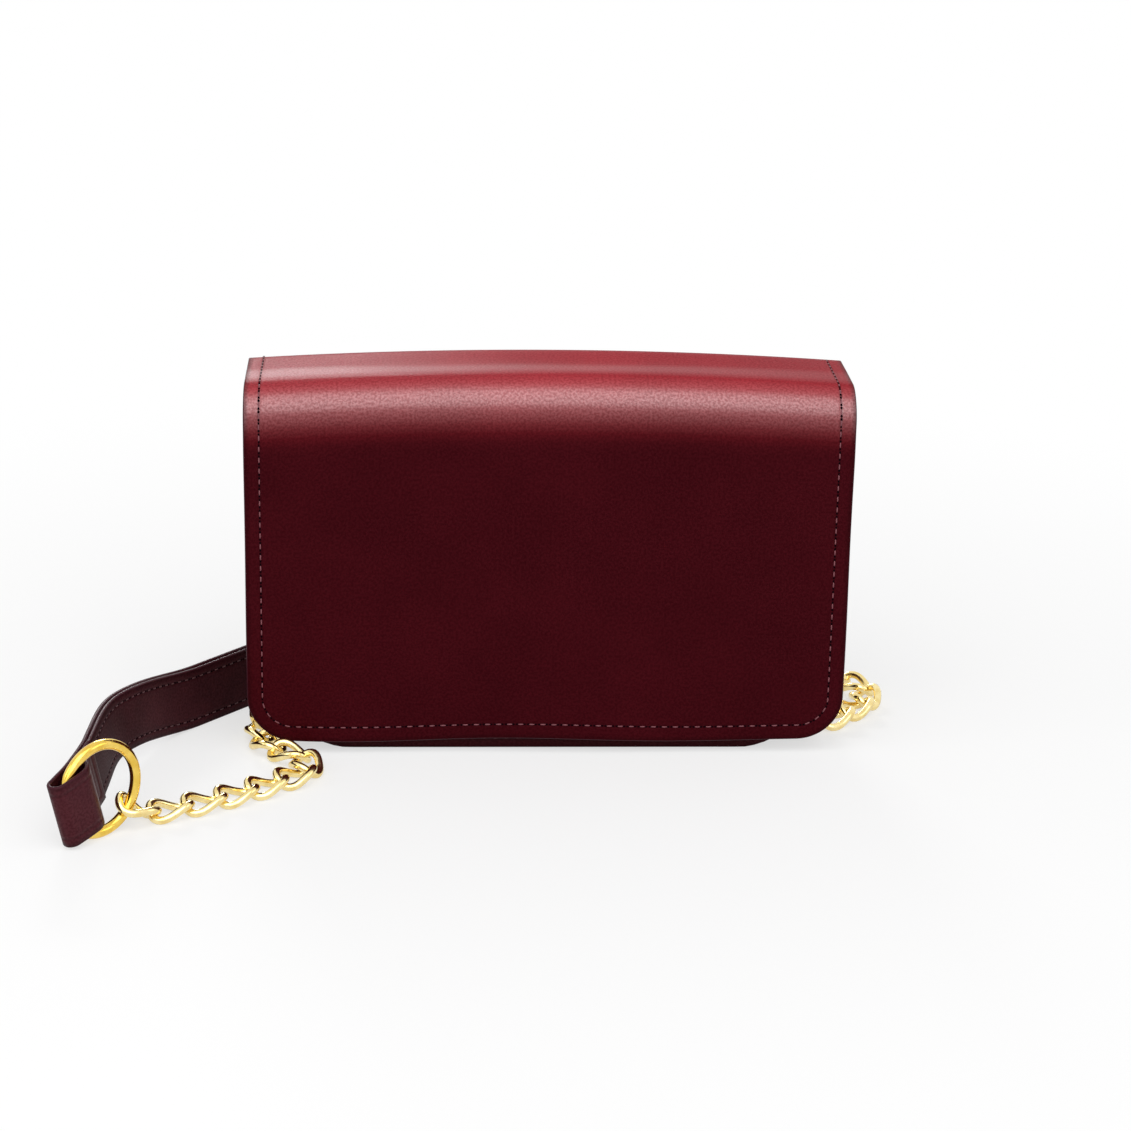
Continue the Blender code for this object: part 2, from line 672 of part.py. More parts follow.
def make_strap(left, right, leather, lining):
    """Make the strap: an outer leather with a loop at each end, and its lining."""
    middle = [place_on_table(p) for p in STRAP_ROUTE_shares]
    points = left.approach()[::-1] + middle + right.approach()
    line = smooth_route(points, STRAP_STEP)
    lengths = route_lengths(line)
    whole = lengths[-1]
    leaf_side = STRAP_LEATHER + STRAP_LINING + 2 * GAP
    inner_line = offset_route(line, -leaf_side)
    reach = (LEAF_START, LEAF_START + LEAF_LENGTH)
    from_left = [p for p, d in zip(inner_line, lengths) if reach[0] < d < reach[1]]
    from_right = [p for p, d in zip(inner_line, lengths) if reach[0] < whole - d < reach[1]]
    left_loop = smooth_route(from_left[::-1] + left.wrap()[::-1], LOOP_STEP)
    right_loop = smooth_route(right.wrap() + from_right[::-1], LOOP_STEP)

    route = left_loop + line[1:-1] + right_loop
    distances = [0.0] * len(left_loop)
    distances += [min(d, whole - d) for d in lengths[1:-1]]
    distances += [0.0] * len(right_loop)
    lows = [strap_lift(d) for d in distances]
    edges = [(low, low + STRAP_WIDTH) for low in lows]
    outer = ribbon("strap_outer", route, STRAP_LEATHER, edges, lambda u, v, w: (u, v, w), leather)

    lining_side = (STRAP_LEATHER + STRAP_LINING) / 2 + GAP
    inset = STRAP_LINING_INSET
    backing = [(p, d) for p, d in zip(offset_route(line, -lining_side), lengths)
               if min(d, whole - d) > LINING_START]
    edges = []
    for p, d in backing:
        low = strap_lift(min(d, whole - d))
        edges.append((low + inset, low + STRAP_WIDTH - inset))
    inner = ribbon("strap_lining", [p for p, d in backing], STRAP_LINING, edges,
                   lambda u, v, w: (u, v, w), lining)
    for layer in (outer, inner):
        lean_end(layer, left)
    return sum((b - a).length for a, b in zip(route, route[1:]))


def link_points(centre, ahead, normal):
    """Return the middle line of one curb link, twisted so that neighbours lie flat."""
    side = normal.cross(ahead).normalized()
    up = ahead.cross(side)
    points = []
    for k in range(LINK_POINTS):
        t = 2 * pi * k / LINK_POINTS
        x = abs(cos(t)) ** 0.8 * (1 if cos(t) > 0 else -1)
        y = sin(t)
        rise = sin(2 * atan2(y, x))
        points.append(centre + ahead * x * LINK_A + side * y * LINK_B - up * rise * LINK_RISE)
    return points


def walk(route, pitch):
    """Return points on a route, each one pitch in a straight line from the last."""
    joints = [route[0]]
    k = 0
    while True:
        while k < len(route) and (route[k] - joints[-1]).length < pitch:
            k += 1
        if k >= len(route):
            return joints
        a, b = route[k - 1], route[k]
        low, high = 0.0, 1.0
        for _ in range(30):
            mid = (low + high) / 2
            if (a.lerp(b, mid) - joints[-1]).length < pitch:
                low = mid
            else:
                high = mid
        joints.append(a.lerp(b, high))


def chain_normal(share, turnover):
    """Return the flat direction of the chain at a share of its length."""
    hang = Vector((sin(HANG_TURN), -cos(HANG_TURN), 0))
    start, stop = turnover
    t = max(0.0, min(1.0, (share - start) / (stop - start)))
    return hang.lerp(Vector((0, 0, 1)), t * t * (3 - 2 * t)).normalized()


def rest_height(normal):
    """Return how high the middle of a link lies over the table for its flat direction."""
    lean = sqrt(max(0.0, 1 - normal.z ** 2))
    return LINK_WIRE / 2 + LINK_B * lean + LINK_RISE * abs(normal.z)


def lay_chain(high, floor, low, bulge, turnover):
    """Return the chain's smooth route: hanging, along the table, up to the ring.

    bulge pushes the places on the table away from the straight line between the first
    and the last of them, so that a whole number of links fits.
    """
    first, last = floor[0], floor[-1]
    line = (last - first).normalized()
    pushed = [p + (p - first - line * (p - first).dot(line)) * bulge for p in floor]
    route = smooth_route(high + [p.to_3d() for p in pushed] + low, LINK_WIRE / 4)
    for k, p in enumerate(route):
        p.z = max(p.z, rest_height(chain_normal(k / len(route), turnover)))
    return route


def walked_links(route, pitch):
    """Return how many links fit on a route, with the part of the next one."""
    joints = walk(route, pitch)
    return len(joints) - 1 + (route[-1] - joints[-1]).length / pitch


def make_chain(name, side, bow, end, shares, gold):
    """Make one chain from the D-ring's bow to the strap's ring, links seated on each other."""
    pitch = 2 * (LINK_A - LINK_HOOK)
    seat = (DRING_WIRE + LINK_WIRE) / 2 + GAP - LINK_HOOK
    reach = bow.x + side * LINK_RISE
    high = [bow + Vector((0, 0, seat))]
    high += [Vector((reach, bow.y, bow.z * share)) for share in HANG_shares]
    floor = [place_on_table(p) for p in shares]
    hook = end.hook(HOOK_TURN)
    pull = (floor[-1].to_3d() + Vector((0, 0, CHAIN_REST)) - hook).normalized()
    hook += pull * (LINK_A - (LINK_WIRE + RING_WIRE) / 2 - HOOK_CLEARANCE)
    low = [hook + pull * pitch / 2, hook - pull * pitch / 2]

    turnover = (TURNOVER_START_share, TURNOVER_END_share)
    slack, tight = SLACK_LIMIT_shares
    count = round(walked_links(lay_chain(high, floor, low, 0, turnover), pitch))
    for _ in range(BISECTIONS):
        bulge = (slack + tight) / 2
        if walked_links(lay_chain(high, floor, low, bulge, turnover), pitch) > count:
            slack = bulge
        else:
            tight = bulge
    joints = walk(lay_chain(high, floor, low, slack, turnover), pitch)
    halves = [bmesh.new(), bmesh.new()]
    for k, (a, b) in enumerate(zip(joints, joints[1:])):
        points = link_points((a + b) / 2, (b - a).normalized(), chain_normal(k / count, turnover))
        wire_ring(halves[k % 2], points, LINK_WIRE)
    chain = link_object(f"chain_{name}", halves[0], gold, radians(50))
    other = link_object(f"chain_{name}_every_other_link", halves[1], None)
    other.hide_render = True
    other.display_type = "WIRE"
    join = chain.modifiers.new("seated_links", "BOOLEAN")
    join.operation = "UNION"
    join.solver = "EXACT"
    join.object = other
    return count, slack


def main():
    """Build the bag, its hardware and its strap."""
    clear_scene()
    leather = make_material("burgundy_leather", BURGUNDY, 0.38)
    flap_leather = make_material("burgundy_flap_leather", BURGUNDY_TOP, 0.34)
    strap_leather = make_material("burgundy_strap_leather", BURGUNDY, 0.42)
    strap_inside = make_material("strap_inside_leather", STRAP_INSIDE, 0.55)
    lining = make_material("brown_lining", LINING_BROWN, 0.75)
    board = make_material("grey_board", BOARD_GREY, 0.90)
    deep_gold = make_material("deep_gold", DEEP_GOLD, 0.18, 1.0)
    pale_gold = make_material("pale_gold", PALE_GOLD, 0.20, 1.0)

    gusset, gusset_lining = make_body(leather, lining, board, deep_gold)
    make_snap(deep_gold)
    make_flap(flap_leather, lining)
    left = StrapEnd(LEFT_RING_share, LEFT_RING_TURN, True)
    right = StrapEnd(RIGHT_RING_share, RIGHT_RING_TURN, False)
    left.make_ring("left", deep_gold)
    right.make_ring("right", deep_gold)
    leather_length = make_strap(left, right, strap_leather, strap_inside)
    for side, name, end, shares in (
        (-1, "left", left, LEFT_CHAIN_shares),
        (1, "right", right, RIGHT_CHAIN_shares),
    ):
        bow = make_ring_tab(side, name, gusset, gusset_lining, leather, deep_gold)
        count, push = make_chain(name, side, bow, end, shares, pale_gold)
        print(f"chain_{name}: {count} links, pushed by a share of {push:.3f}")
    print(f"strap leather with its loops: {leather_length * 1000:.0f} mm")


main()
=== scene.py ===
"""The looks of the leather flap bag: soft leather, stitching, edge paint, chains and rings.

Everything is in metres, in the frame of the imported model: the front of the bag faces -Y
and the bag stands on Z = 0.
"""

import logging
from dataclasses import dataclass, field
from enum import Enum
from math import atan2, ceil, cos, hypot, pi, radians, sin, sqrt
from typing import Callable, Iterable, Iterator, Sequence

import bmesh
import bpy
import numpy as np
from mathutils import Matrix, Vector, noise


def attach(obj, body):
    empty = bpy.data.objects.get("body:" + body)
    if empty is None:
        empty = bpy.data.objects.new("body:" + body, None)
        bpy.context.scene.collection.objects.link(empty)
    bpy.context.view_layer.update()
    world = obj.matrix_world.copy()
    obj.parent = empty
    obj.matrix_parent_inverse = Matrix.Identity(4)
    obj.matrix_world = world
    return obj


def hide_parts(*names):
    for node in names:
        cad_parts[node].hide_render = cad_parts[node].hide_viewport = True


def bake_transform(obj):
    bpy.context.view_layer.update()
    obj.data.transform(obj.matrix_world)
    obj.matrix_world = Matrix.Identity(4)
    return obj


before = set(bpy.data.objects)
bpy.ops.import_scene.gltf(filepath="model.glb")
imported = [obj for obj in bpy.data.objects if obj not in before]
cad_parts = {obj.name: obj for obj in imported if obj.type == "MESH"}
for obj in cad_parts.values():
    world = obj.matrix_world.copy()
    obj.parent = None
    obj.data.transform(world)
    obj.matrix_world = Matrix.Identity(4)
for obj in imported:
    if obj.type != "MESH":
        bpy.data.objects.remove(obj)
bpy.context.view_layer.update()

log = logging.getLogger("bag")
logging.basicConfig(level=logging.INFO, format="%(message)s")

Colour = tuple[float, float, float]
Point = tuple[float, float, float]
Pair = tuple[float, float]
Places = list[Vector]
Piece = bpy.types.Object
Material = bpy.types.Material
Socket = bpy.types.NodeSocket


class BodyName(Enum):
    """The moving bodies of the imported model."""

    BAG = "bag"
    FLAP = "flap"
    LEFT_RING = "ring_left"
    RIGHT_RING = "ring_right"


class RingLay(Enum):
    """How a round ring lies against the strap's end."""

    FOLDED = "folded back against the strap"
    STRAIGHT = "in line with the strap"


def smoothstep(low: float, high: float, value: float) -> float:
    """Return 0 below low, 1 above high and a smooth step between them."""
    t = max(0.0, min(1.0, (value - low) / (high - low)))
    return t * t * (3 - 2 * t)


def linked(name: str, data) -> Piece:
    """Return a new object made of the data and linked into the scene."""
    obj = bpy.data.objects.new(name, data)
    bpy.context.scene.collection.objects.link(obj)
    return obj


class NodeBench:
    """Lays shader nodes on a material's bench and joins them."""

    def __init__(self, name: str) -> None:
        """Start an empty node tree.

        Args:
            name: The material's name.
        """
        self.material = bpy.data.materials.new(name)
        self.material.use_nodes = True
        self.tree = self.material.node_tree
        self.shader = self.tree.nodes["Principled BSDF"]

    @classmethod
    def on(cls, tree: bpy.types.NodeTree) -> "NodeBench":
        """Return a bench for a tree that is no material's."""
        bench = cls.__new__(cls)
        bench.tree = tree
        return bench

    def veil(self, seen, share, shader: bpy.types.Node) -> None:
        """Lay another shader over the surface, for the rays and the share given."""
        out = self.tree.nodes["Material Output"].inputs["Surface"]
        mix = self.add("ShaderNodeMixShader", {0: self.math("MULTIPLY", seen, share),
                                               1: self.shader.outputs[0], 2: shader.outputs[0]})
        self.feed(out, mix.outputs[0])

    def add(self, kind: str, inputs: dict | None = None, **settings) -> bpy.types.Node:
        """Add one node.

        Args:
            kind: The node's type name.
            inputs: Socket name or number to a value or to an output socket.
            **settings: The node's own properties.

        Returns:
            The new node.
        """
        node = self.tree.nodes.new(kind)
        for key, value in settings.items():
            setattr(node, key, value)
        for key, value in (inputs or {}).items():
            self.feed(node.inputs[key], value)
        return node

    def feed(self, socket: Socket, value) -> None:
        """Join an output to a socket, or set the socket's value."""
        if isinstance(value, Socket):
            self.tree.links.new(value, socket)
        else:
            socket.default_value = value

    def math(self, operation: str, a, b=0.0) -> Socket:
        """Return the result of one sum of two values or sockets."""
        node = self.add("ShaderNodeMath", {0: a, 1: b}, operation=operation)
        return node.outputs[0]

    def noise(self, vector, scale: float, detail: float = 2.0, rough: float = 0.5):
        """Return a noise value between 0 and 1 at a scale per metre."""
        node = self.add("ShaderNodeTexNoise", {"Vector": vector, "Scale": scale, "Detail": detail,
                                               "Roughness": rough})
        return node.outputs["Fac"]

    def wave(self, vector, scale: float, distortion: float, direction: str):
        """Return the value of straight bands across a direction."""
        node = self.add("ShaderNodeTexWave", {"Vector": vector, "Scale": scale,
                                              "Distortion": distortion},
                        wave_type="BANDS", bands_direction=direction)
        return node.outputs["Fac"]

    def band(self, value, low: float, high: float, to_low: float = 0.0, to_high: float = 1.0):
        """Return a value remapped smoothly from one range to another."""
        node = self.add("ShaderNodeMapRange", {"Value": value, "From Min": low, "From Max": high,
                                               "To Min": to_low, "To Max": to_high},
                        interpolation_type="SMOOTHSTEP")
        return node.outputs["Result"]

    def blend(self, factor, a, b) -> Socket:
        """Return a colour mixed from two colours by a factor."""
        node = self.add("ShaderNodeMix", data_type="RGBA")
        colours = [s for s in node.inputs if s.type == "RGBA"]
        self.feed(node.inputs[0], factor)
        for socket, colour in zip(colours, (a, b)):
            self.feed(socket, (*colour, 1.0) if isinstance(colour, tuple) else colour)
        return next(s for s in node.outputs if s.type == "RGBA")

    def attribute(self, name: str):
        """Return a mesh attribute's value."""
        return self.add("ShaderNodeAttribute", attribute_name=name).outputs["Fac"]

    def cut_place(self):
        """Return the place on the flat leather, in metres, from the piece's UV map."""
        return self.add("ShaderNodeUVMap", uv_map="cut").outputs["UV"]

    def object_place(self):
        """Return the place on the object, in metres."""
        return self.add("ShaderNodeTexCoord").outputs["Object"]

    def bump(self, height, strength: float, distance: float, after=None):
        """Return a normal bumped by a height.

        Args:
            height: The height's socket.
            strength: How strongly the bump shows.
            distance: The height in metres of a value of 1.
            after: A normal to start from.

        Returns:
            The normal's socket.
        """
        node = self.add("ShaderNodeBump", {"Height": height, "Strength": strength,
                                           "Distance": distance})
        if after is not None:
            self.feed(node.inputs["Normal"], after)
        return node.outputs["Normal"]

    def finish(self, **sockets) -> Material:
        """Set the shader's sockets by name, with underscores for spaces.

        Returns:
            The finished material.
        """
        for name, value in sockets.items():
            socket = self.shader.inputs[name.replace("_", " ")]
            self.feed(socket, (*value, 1.0) if isinstance(value, tuple) else value)
        return self.material


@dataclass(frozen=True)
class SmoothLeather:
    """Vegetable-tanned leather: mottled dye, fine pores, a darker rim, painted shade in the stitch
    groove, and painted top light when given.
    """

    name: str
    deep: Colour
    warm: Colour
    # Painted light: a much lighter, redder colour for the top and the roll over the front edge,
    # where light falls.
    fold: Colour | None = None
    roughness: float = 0.36
    pore: float = 0.0007
    groove_inset: float = 0.0
    shine: float = 0.06
    top_shine: float = 0.0
    roll_shine: float = 0.0
    mottle_scale: float = 34.0
    cloud_scale: float = 9.0
    crease_scale: float = 120.0
    speck_scale: float = 1050.0
    pore_depth: float = 0.00008
    crease_depth: float = 0.0001
    groove_depth: float = 0.0003
    groove_reach: float = 0.0013
    rim_reach: float = 0.0022
    dark_share: float = 0.45

    def material(self) -> Material:
        """Return the leather's material."""
        bench = NodeBench(self.name)
        place = bench.cut_place()
        mottle = bench.noise(place, self.mottle_scale, 4.0, 0.6)
        clouds = bench.noise(place, self.cloud_scale, 2.0)
        dye = bench.band(bench.math("ADD", bench.math("MULTIPLY", mottle, 0.45),
                                    bench.math("MULTIPLY", clouds, 0.55)), 0.38, 0.64)
        colour = bench.blend(dye, self.deep, self.warm)
        shine = self.shine
        # Painted light: the fold mark blends in the much lighter top colour, standing for light
        # falling on the top and roll.
        if self.fold:
            fold = bench.attribute("fold")
            lit = bench.blend(dye, self.fold, tuple(c * 1.15 for c in self.fold))
            colour = bench.blend(fold, colour, lit)
            shine = bench.band(fold, 0.0, 1.0, self.shine, self.top_shine)
            gloss = bench.math("MULTIPLY", bench.attribute("gloss"), self.roll_shine)
            shine = bench.math("ADD", gloss, shine)
        edge = bench.attribute("edge")
        rim = bench.band(edge, 0.0, self.rim_reach, 0.55, 0.0)
        dark = tuple(c * self.dark_share for c in self.deep)
        colour = bench.blend(rim, colour, dark)
        pores = bench.add("ShaderNodeTexVoronoi", {"Vector": place, "Scale": 1 / self.pore,
                                                   "Randomness": 1.0}, feature="SMOOTH_F1")
        grain = bench.noise(place, 1 / (self.pore * 1.4), 3.0, 0.6)
        height = bench.math("ADD", bench.math("MULTIPLY", pores.outputs["Distance"], 0.6), grain)
        normal = bench.bump(height, 0.40, self.pore_depth)
        creases = bench.noise(place, self.crease_scale, 3.0, 0.55)
        normal = bench.bump(creases, 0.22, self.crease_depth, normal)
        if self.groove_inset:
            off = bench.math("ABSOLUTE", bench.math("SUBTRACT", edge, self.groove_inset))
            groove = bench.band(off, 0.0, self.groove_reach)
            normal = bench.bump(groove, 0.55, self.groove_depth, normal)
            # Painted shade: the face is darkened along the bottom of the stitch groove.
            colour = bench.blend(bench.band(off, 0.0, 0.0009, 0.35, 0.0), colour, dark)
        rough = bench.band(grain, 0.3, 0.7, self.roughness - 0.04, self.roughness + 0.06)
        grit = bench.noise(place, self.speck_scale, 2.0, 0.6)
        speck = bench.band(grit, 0.34, 0.66, 0.68, 1.32)
        tone = bench.band(speck, 0.68, 1.32, 0.86, 1.14)
        shade = bench.add("ShaderNodeVectorMath", {0: colour}, operation="SCALE")
        bench.feed(shade.inputs["Scale"], tone)
        return bench.finish(Base_Color=shade.outputs[0], Roughness=rough, Normal=normal,
                            Specular_IOR_Level=bench.math("MULTIPLY", shine, speck))


@dataclass(frozen=True)
class EdgePaint:
    """The dark, slightly glossy paint that seals a cut leather edge."""

    name: str
    colour: Colour
    shine: float = 0.3

    def material(self) -> Material:
        """Return the edge paint's material."""
        bench = NodeBench(self.name)
        place = bench.object_place()
        streak = bench.noise(place, 420.0, 3.0)
        colour = bench.blend(streak, self.colour, tuple(c * 1.7 for c in self.colour))
        normal = bench.bump(bench.noise(place, 900.0, 2.0), 0.25, 0.00006)
        return bench.finish(Base_Color=colour, Roughness=0.42, Normal=normal,
                            Specular_IOR_Level=self.shine)


@dataclass(frozen=True)
class WaxedThread:
    """Waxed sewing thread with its twist."""

    name: str
    colour: Colour

    def material(self) -> Material:
        """Return the thread's material."""
        bench = NodeBench(self.name)
        place = bench.object_place()
        twist = bench.wave(place, 900.0, 1.5, "DIAGONAL")
        wear = bench.noise(place, 300.0, 2.0)
        colour = bench.blend(wear, self.colour, tuple(min(1.0, c * 1.35) for c in self.colour))
        normal = bench.bump(twist, 0.5, 0.00008)
        return bench.finish(Base_Color=colour, Roughness=0.55, Normal=normal)


@dataclass(frozen=True)
class GoldPlate:
    """Polished gold plate with a faint cloudiness, fine scratches and rubbed spots."""

    name: str
    bright: Colour
    deep: Colour
    roughness: float

    def material(self) -> Material:
        """Return the plate's material."""
        bench = NodeBench(self.name)
        place = bench.object_place()
        cloud = bench.noise(place, 260.0, 3.0)
        colour = bench.blend(bench.band(cloud, 0.3, 0.7), self.deep, self.bright)
        rub = bench.noise(place, 1400.0, 3.0, 0.6)
        rough = bench.band(rub, 0.35, 0.75, self.roughness, self.roughness + 0.10)
        ripple = bench.noise(place, 480.0, 2.0)
        normal = bench.bump(ripple, 0.12, 0.00012)
        return bench.finish(Base_Color=colour, Metallic=1.0, Roughness=rough, Normal=normal)


@dataclass(frozen=True)
class LiningCloth:
    """A closely woven lining cloth."""

    name: str
    warp: Colour
    weft: Colour
    thread: float = 0.00045

    def material(self) -> Material:
        """Return the cloth's material."""
        bench = NodeBench(self.name)
        place = bench.cut_place()
        turned = bench.add("ShaderNodeMapping", {"Vector": place, "Rotation": (0, 0, radians(45))})
        weave = [bench.wave(turned.outputs[0], 0.31 / self.thread, 0.6, direction)
                 for direction in ("X", "Y")]
        rise = bench.math("MAXIMUM", *weave)
        slub = bench.noise(place, 60.0, 3.0)
        colour = bench.blend(bench.math("MULTIPLY", weave[0], slub), self.warp, self.weft)
        normal = bench.bump(rise, 0.5, 0.00010)
        normal = bench.bump(bench.noise(place, 45.0, 2.0), 0.4, 0.0004, normal)
        return bench.finish(Base_Color=colour, Roughness=0.82, Normal=normal, Sheen_Weight=0.25,
                            Sheen_Roughness=0.5)


@dataclass(frozen=True)
class PressedBoard:
    """The grey fibre board that stiffens the bag."""

    name: str
    colour: Colour

    def material(self) -> Material:
        """Return the board's material."""
        bench = NodeBench(self.name)
        place = bench.object_place()
        fibres = bench.noise(place, 500.0, 4.0, 0.7)
        colour = bench.blend(fibres, self.colour, tuple(c * 0.7 for c in self.colour))
        return bench.finish(Base_Color=colour, Roughness=0.9,
                            Normal=bench.bump(fibres, 0.5, 0.0002))


@dataclass
class Palette:
    """All the finishes of the bag, made once."""

    flap: Material = field(init=False)
    body: Material = field(init=False)
    strap: Material = field(init=False)
    strap_inside: Material = field(init=False)
    suede: Material = field(init=False)
    edge: Material = field(init=False)
    thread: Material = field(init=False)
    strap_thread: Material = field(init=False)
    hole_shade: Material = field(init=False)
    cloth: Material = field(init=False)
    board: Material = field(init=False)
    deep_gold: Material = field(init=False)
    pale_gold: Material = field(init=False)

    @property
    def hide(self) -> tuple[Material, Material, Material]:
        """The face, back and rim of a piece of the body's leather."""
        return self.body, self.suede, self.edge

    @property
    def lining(self) -> tuple[Material, Material, Material]:
        """The face, back and rim of a piece of lining cloth."""
        return self.cloth, self.cloth, self.cloth

    def __post_init__(self) -> None:
        """Make every material."""
        # The flap's third colour is painted light: its top and front roll painted lighter and
        # redder than its front.
        self.flap = SmoothLeather(
            "burgundy_flap_leather", (0.035, 0.0013, 0.0034), (0.043, 0.0019, 0.0044),
            (0.285, 0.020, 0.028), groove_inset=SEAM_INSET, shine=0.025, top_shine=0.012,
            roll_shine=1.0).material()
        self.body = SmoothLeather(
            "burgundy_body_leather", (0.033, 0.0016, 0.0036), (0.042, 0.0024, 0.0048),
            groove_inset=0.0035).material()
        self.strap = SmoothLeather(
            "burgundy_strap_leather", (0.050, 0.0085, 0.013), (0.072, 0.014, 0.018),
            groove_inset=0.0032, shine=0.08).material()
        self.strap_inside = SmoothLeather(
            "strap_inside_leather", (0.026, 0.0042, 0.0065), (0.050, 0.0100, 0.014),
            groove_inset=0.0032, roughness=0.46, shine=0.03).material()
        self.suede = SmoothLeather(
            "flap_inside_leather", (0.055, 0.012, 0.014), (0.085, 0.020, 0.022),
            roughness=0.62, groove_inset=0.0045).material()
        self.edge = EdgePaint("burgundy_edge_paint", (0.030, 0.004, 0.008), 0.12).material()
        self.thread = WaxedThread("mauve_thread", (0.140, 0.036, 0.046)).material()
        self.strap_thread = WaxedThread("strap_thread", (0.055, 0.013, 0.017)).material()
        # Painted shade: the needle holes get a near-black finish with no shine, for the shade
        # inside them.
        self.hole_shade = EdgePaint("needle_hole", (0.004, 0.001, 0.002), 0.0).material()
        self.cloth = LiningCloth("brown_lining_cloth", (0.060, 0.024, 0.020),
                                 (0.085, 0.036, 0.028)).material()
        self.board = PressedBoard("grey_fibre_board", (0.22, 0.19, 0.15)).material()
        self.deep_gold = GoldPlate("deep_gold_plate", (0.92, 0.66, 0.15), (0.80, 0.52, 0.08),
                                   0.13).material()
        self.pale_gold = GoldPlate("pale_gold_plate", (0.96, 0.80, 0.40), (0.85, 0.65, 0.26),
                                   0.12).material()


class MeshBench:
    """Collects the corners and faces of one piece, with their places on the flat leather."""

    def __init__(self) -> None:
        """Start an empty piece."""
        self.corners: Places = []
        self.flat: list[Pair] = []
        # fold marks where painted light goes on the leather's top; gloss marks how polished it is.
        self.marks: dict[str, list[float]] = {"edge": [], "fold": [], "gloss": []}
        self.faces: list[tuple[int, ...]] = []
        self.slots: list[int] = []

    def corner(self, place: Vector, flat=(0.0, 0.0), edge: float = 1.0, fold: float = 0.0,
               gloss: float = 0.0) -> int:
        """Add a corner and return its number."""
        self.corners.append(place)
        self.flat.append(flat)
        for values, value in zip(self.marks.values(), (edge, fold, gloss)):
            values.append(value)
        return len(self.corners) - 1

    def face(self, *corners: int, slot: int = 0) -> None:
        """Add a face between corners."""
        self.faces.append(corners)
        self.slots.append(slot)

    def rings(self, rings: Sequence[Sequence[int]], closed: bool = False) -> None:
        """Join closed rings of corners into a tube.

        Args:
            rings: The rings, all of one count.
            closed: Whether the last ring joins the first.
        """
        after = list(rings[1:]) + ([rings[0]] if closed else [])
        for first, second in zip(rings, after):
            for k in range(len(first)):
                n = (k + 1) % len(first)
                self.face(first[k], first[n], second[n], second[k])

    def piece(self, name: str, materials: Sequence[Material], crease: float = 40.0):
        """Make the object.

        Args:
            name: The piece's name.
            materials: The materials by number.
            crease: The angle in degrees over which an edge is drawn sharp.

        Returns:
            The finished object, whose faces point outwards.
        """
        mesh = bpy.data.meshes.new(name)
        mesh.from_pydata([tuple(c) for c in self.corners], [], self.faces)
        mesh.polygons.foreach_set("material_index", self.slots)
        spots = [0] * len(mesh.loops)
        mesh.loops.foreach_get("vertex_index", spots)
        cut = mesh.uv_layers.new(name="cut")
        cut.data.foreach_set("uv", [value for spot in spots for value in self.flat[spot]])
        for key, values in self.marks.items():
            mesh.attributes.new(key, "FLOAT", "POINT").data.foreach_set("value", values)
        for material in materials:
            mesh.materials.append(material)
        bm = bmesh.new()
        bm.from_mesh(mesh)
        bmesh.ops.recalc_face_normals(bm, faces=bm.faces)
        bm.to_mesh(mesh)
        bm.free()
        mesh.shade_smooth()
        mesh.set_sharp_from_angle(angle=radians(crease))
        log.info("%s: %d faces", name, len(self.faces))
        return linked(name, mesh)


def edge_distances(flat: Sequence[Pair], outline: Sequence[Pair]):
    """Return how far flat places lie from an outline.

    Args:
        flat: The places.
        outline: The closed outline's corners.

    Returns:
        A list of distances in metres.
    """
    places = np.array(flat)
    nearest = np.full(len(places), 1.0)
    for a, b in zip(outline, list(outline[1:]) + [outline[0]]):
        a, b = np.array(a), np.array(b)
        line = b - a
        size = float(line @ line)
        if size < 1e-12:
            continue
        t = np.clip((places - a) @ line / size, 0, 1)
        away = places - a - t[:, None] * line
        nearest = np.minimum(nearest, np.hypot(away[:, 0], away[:, 1]))
    return nearest.tolist()


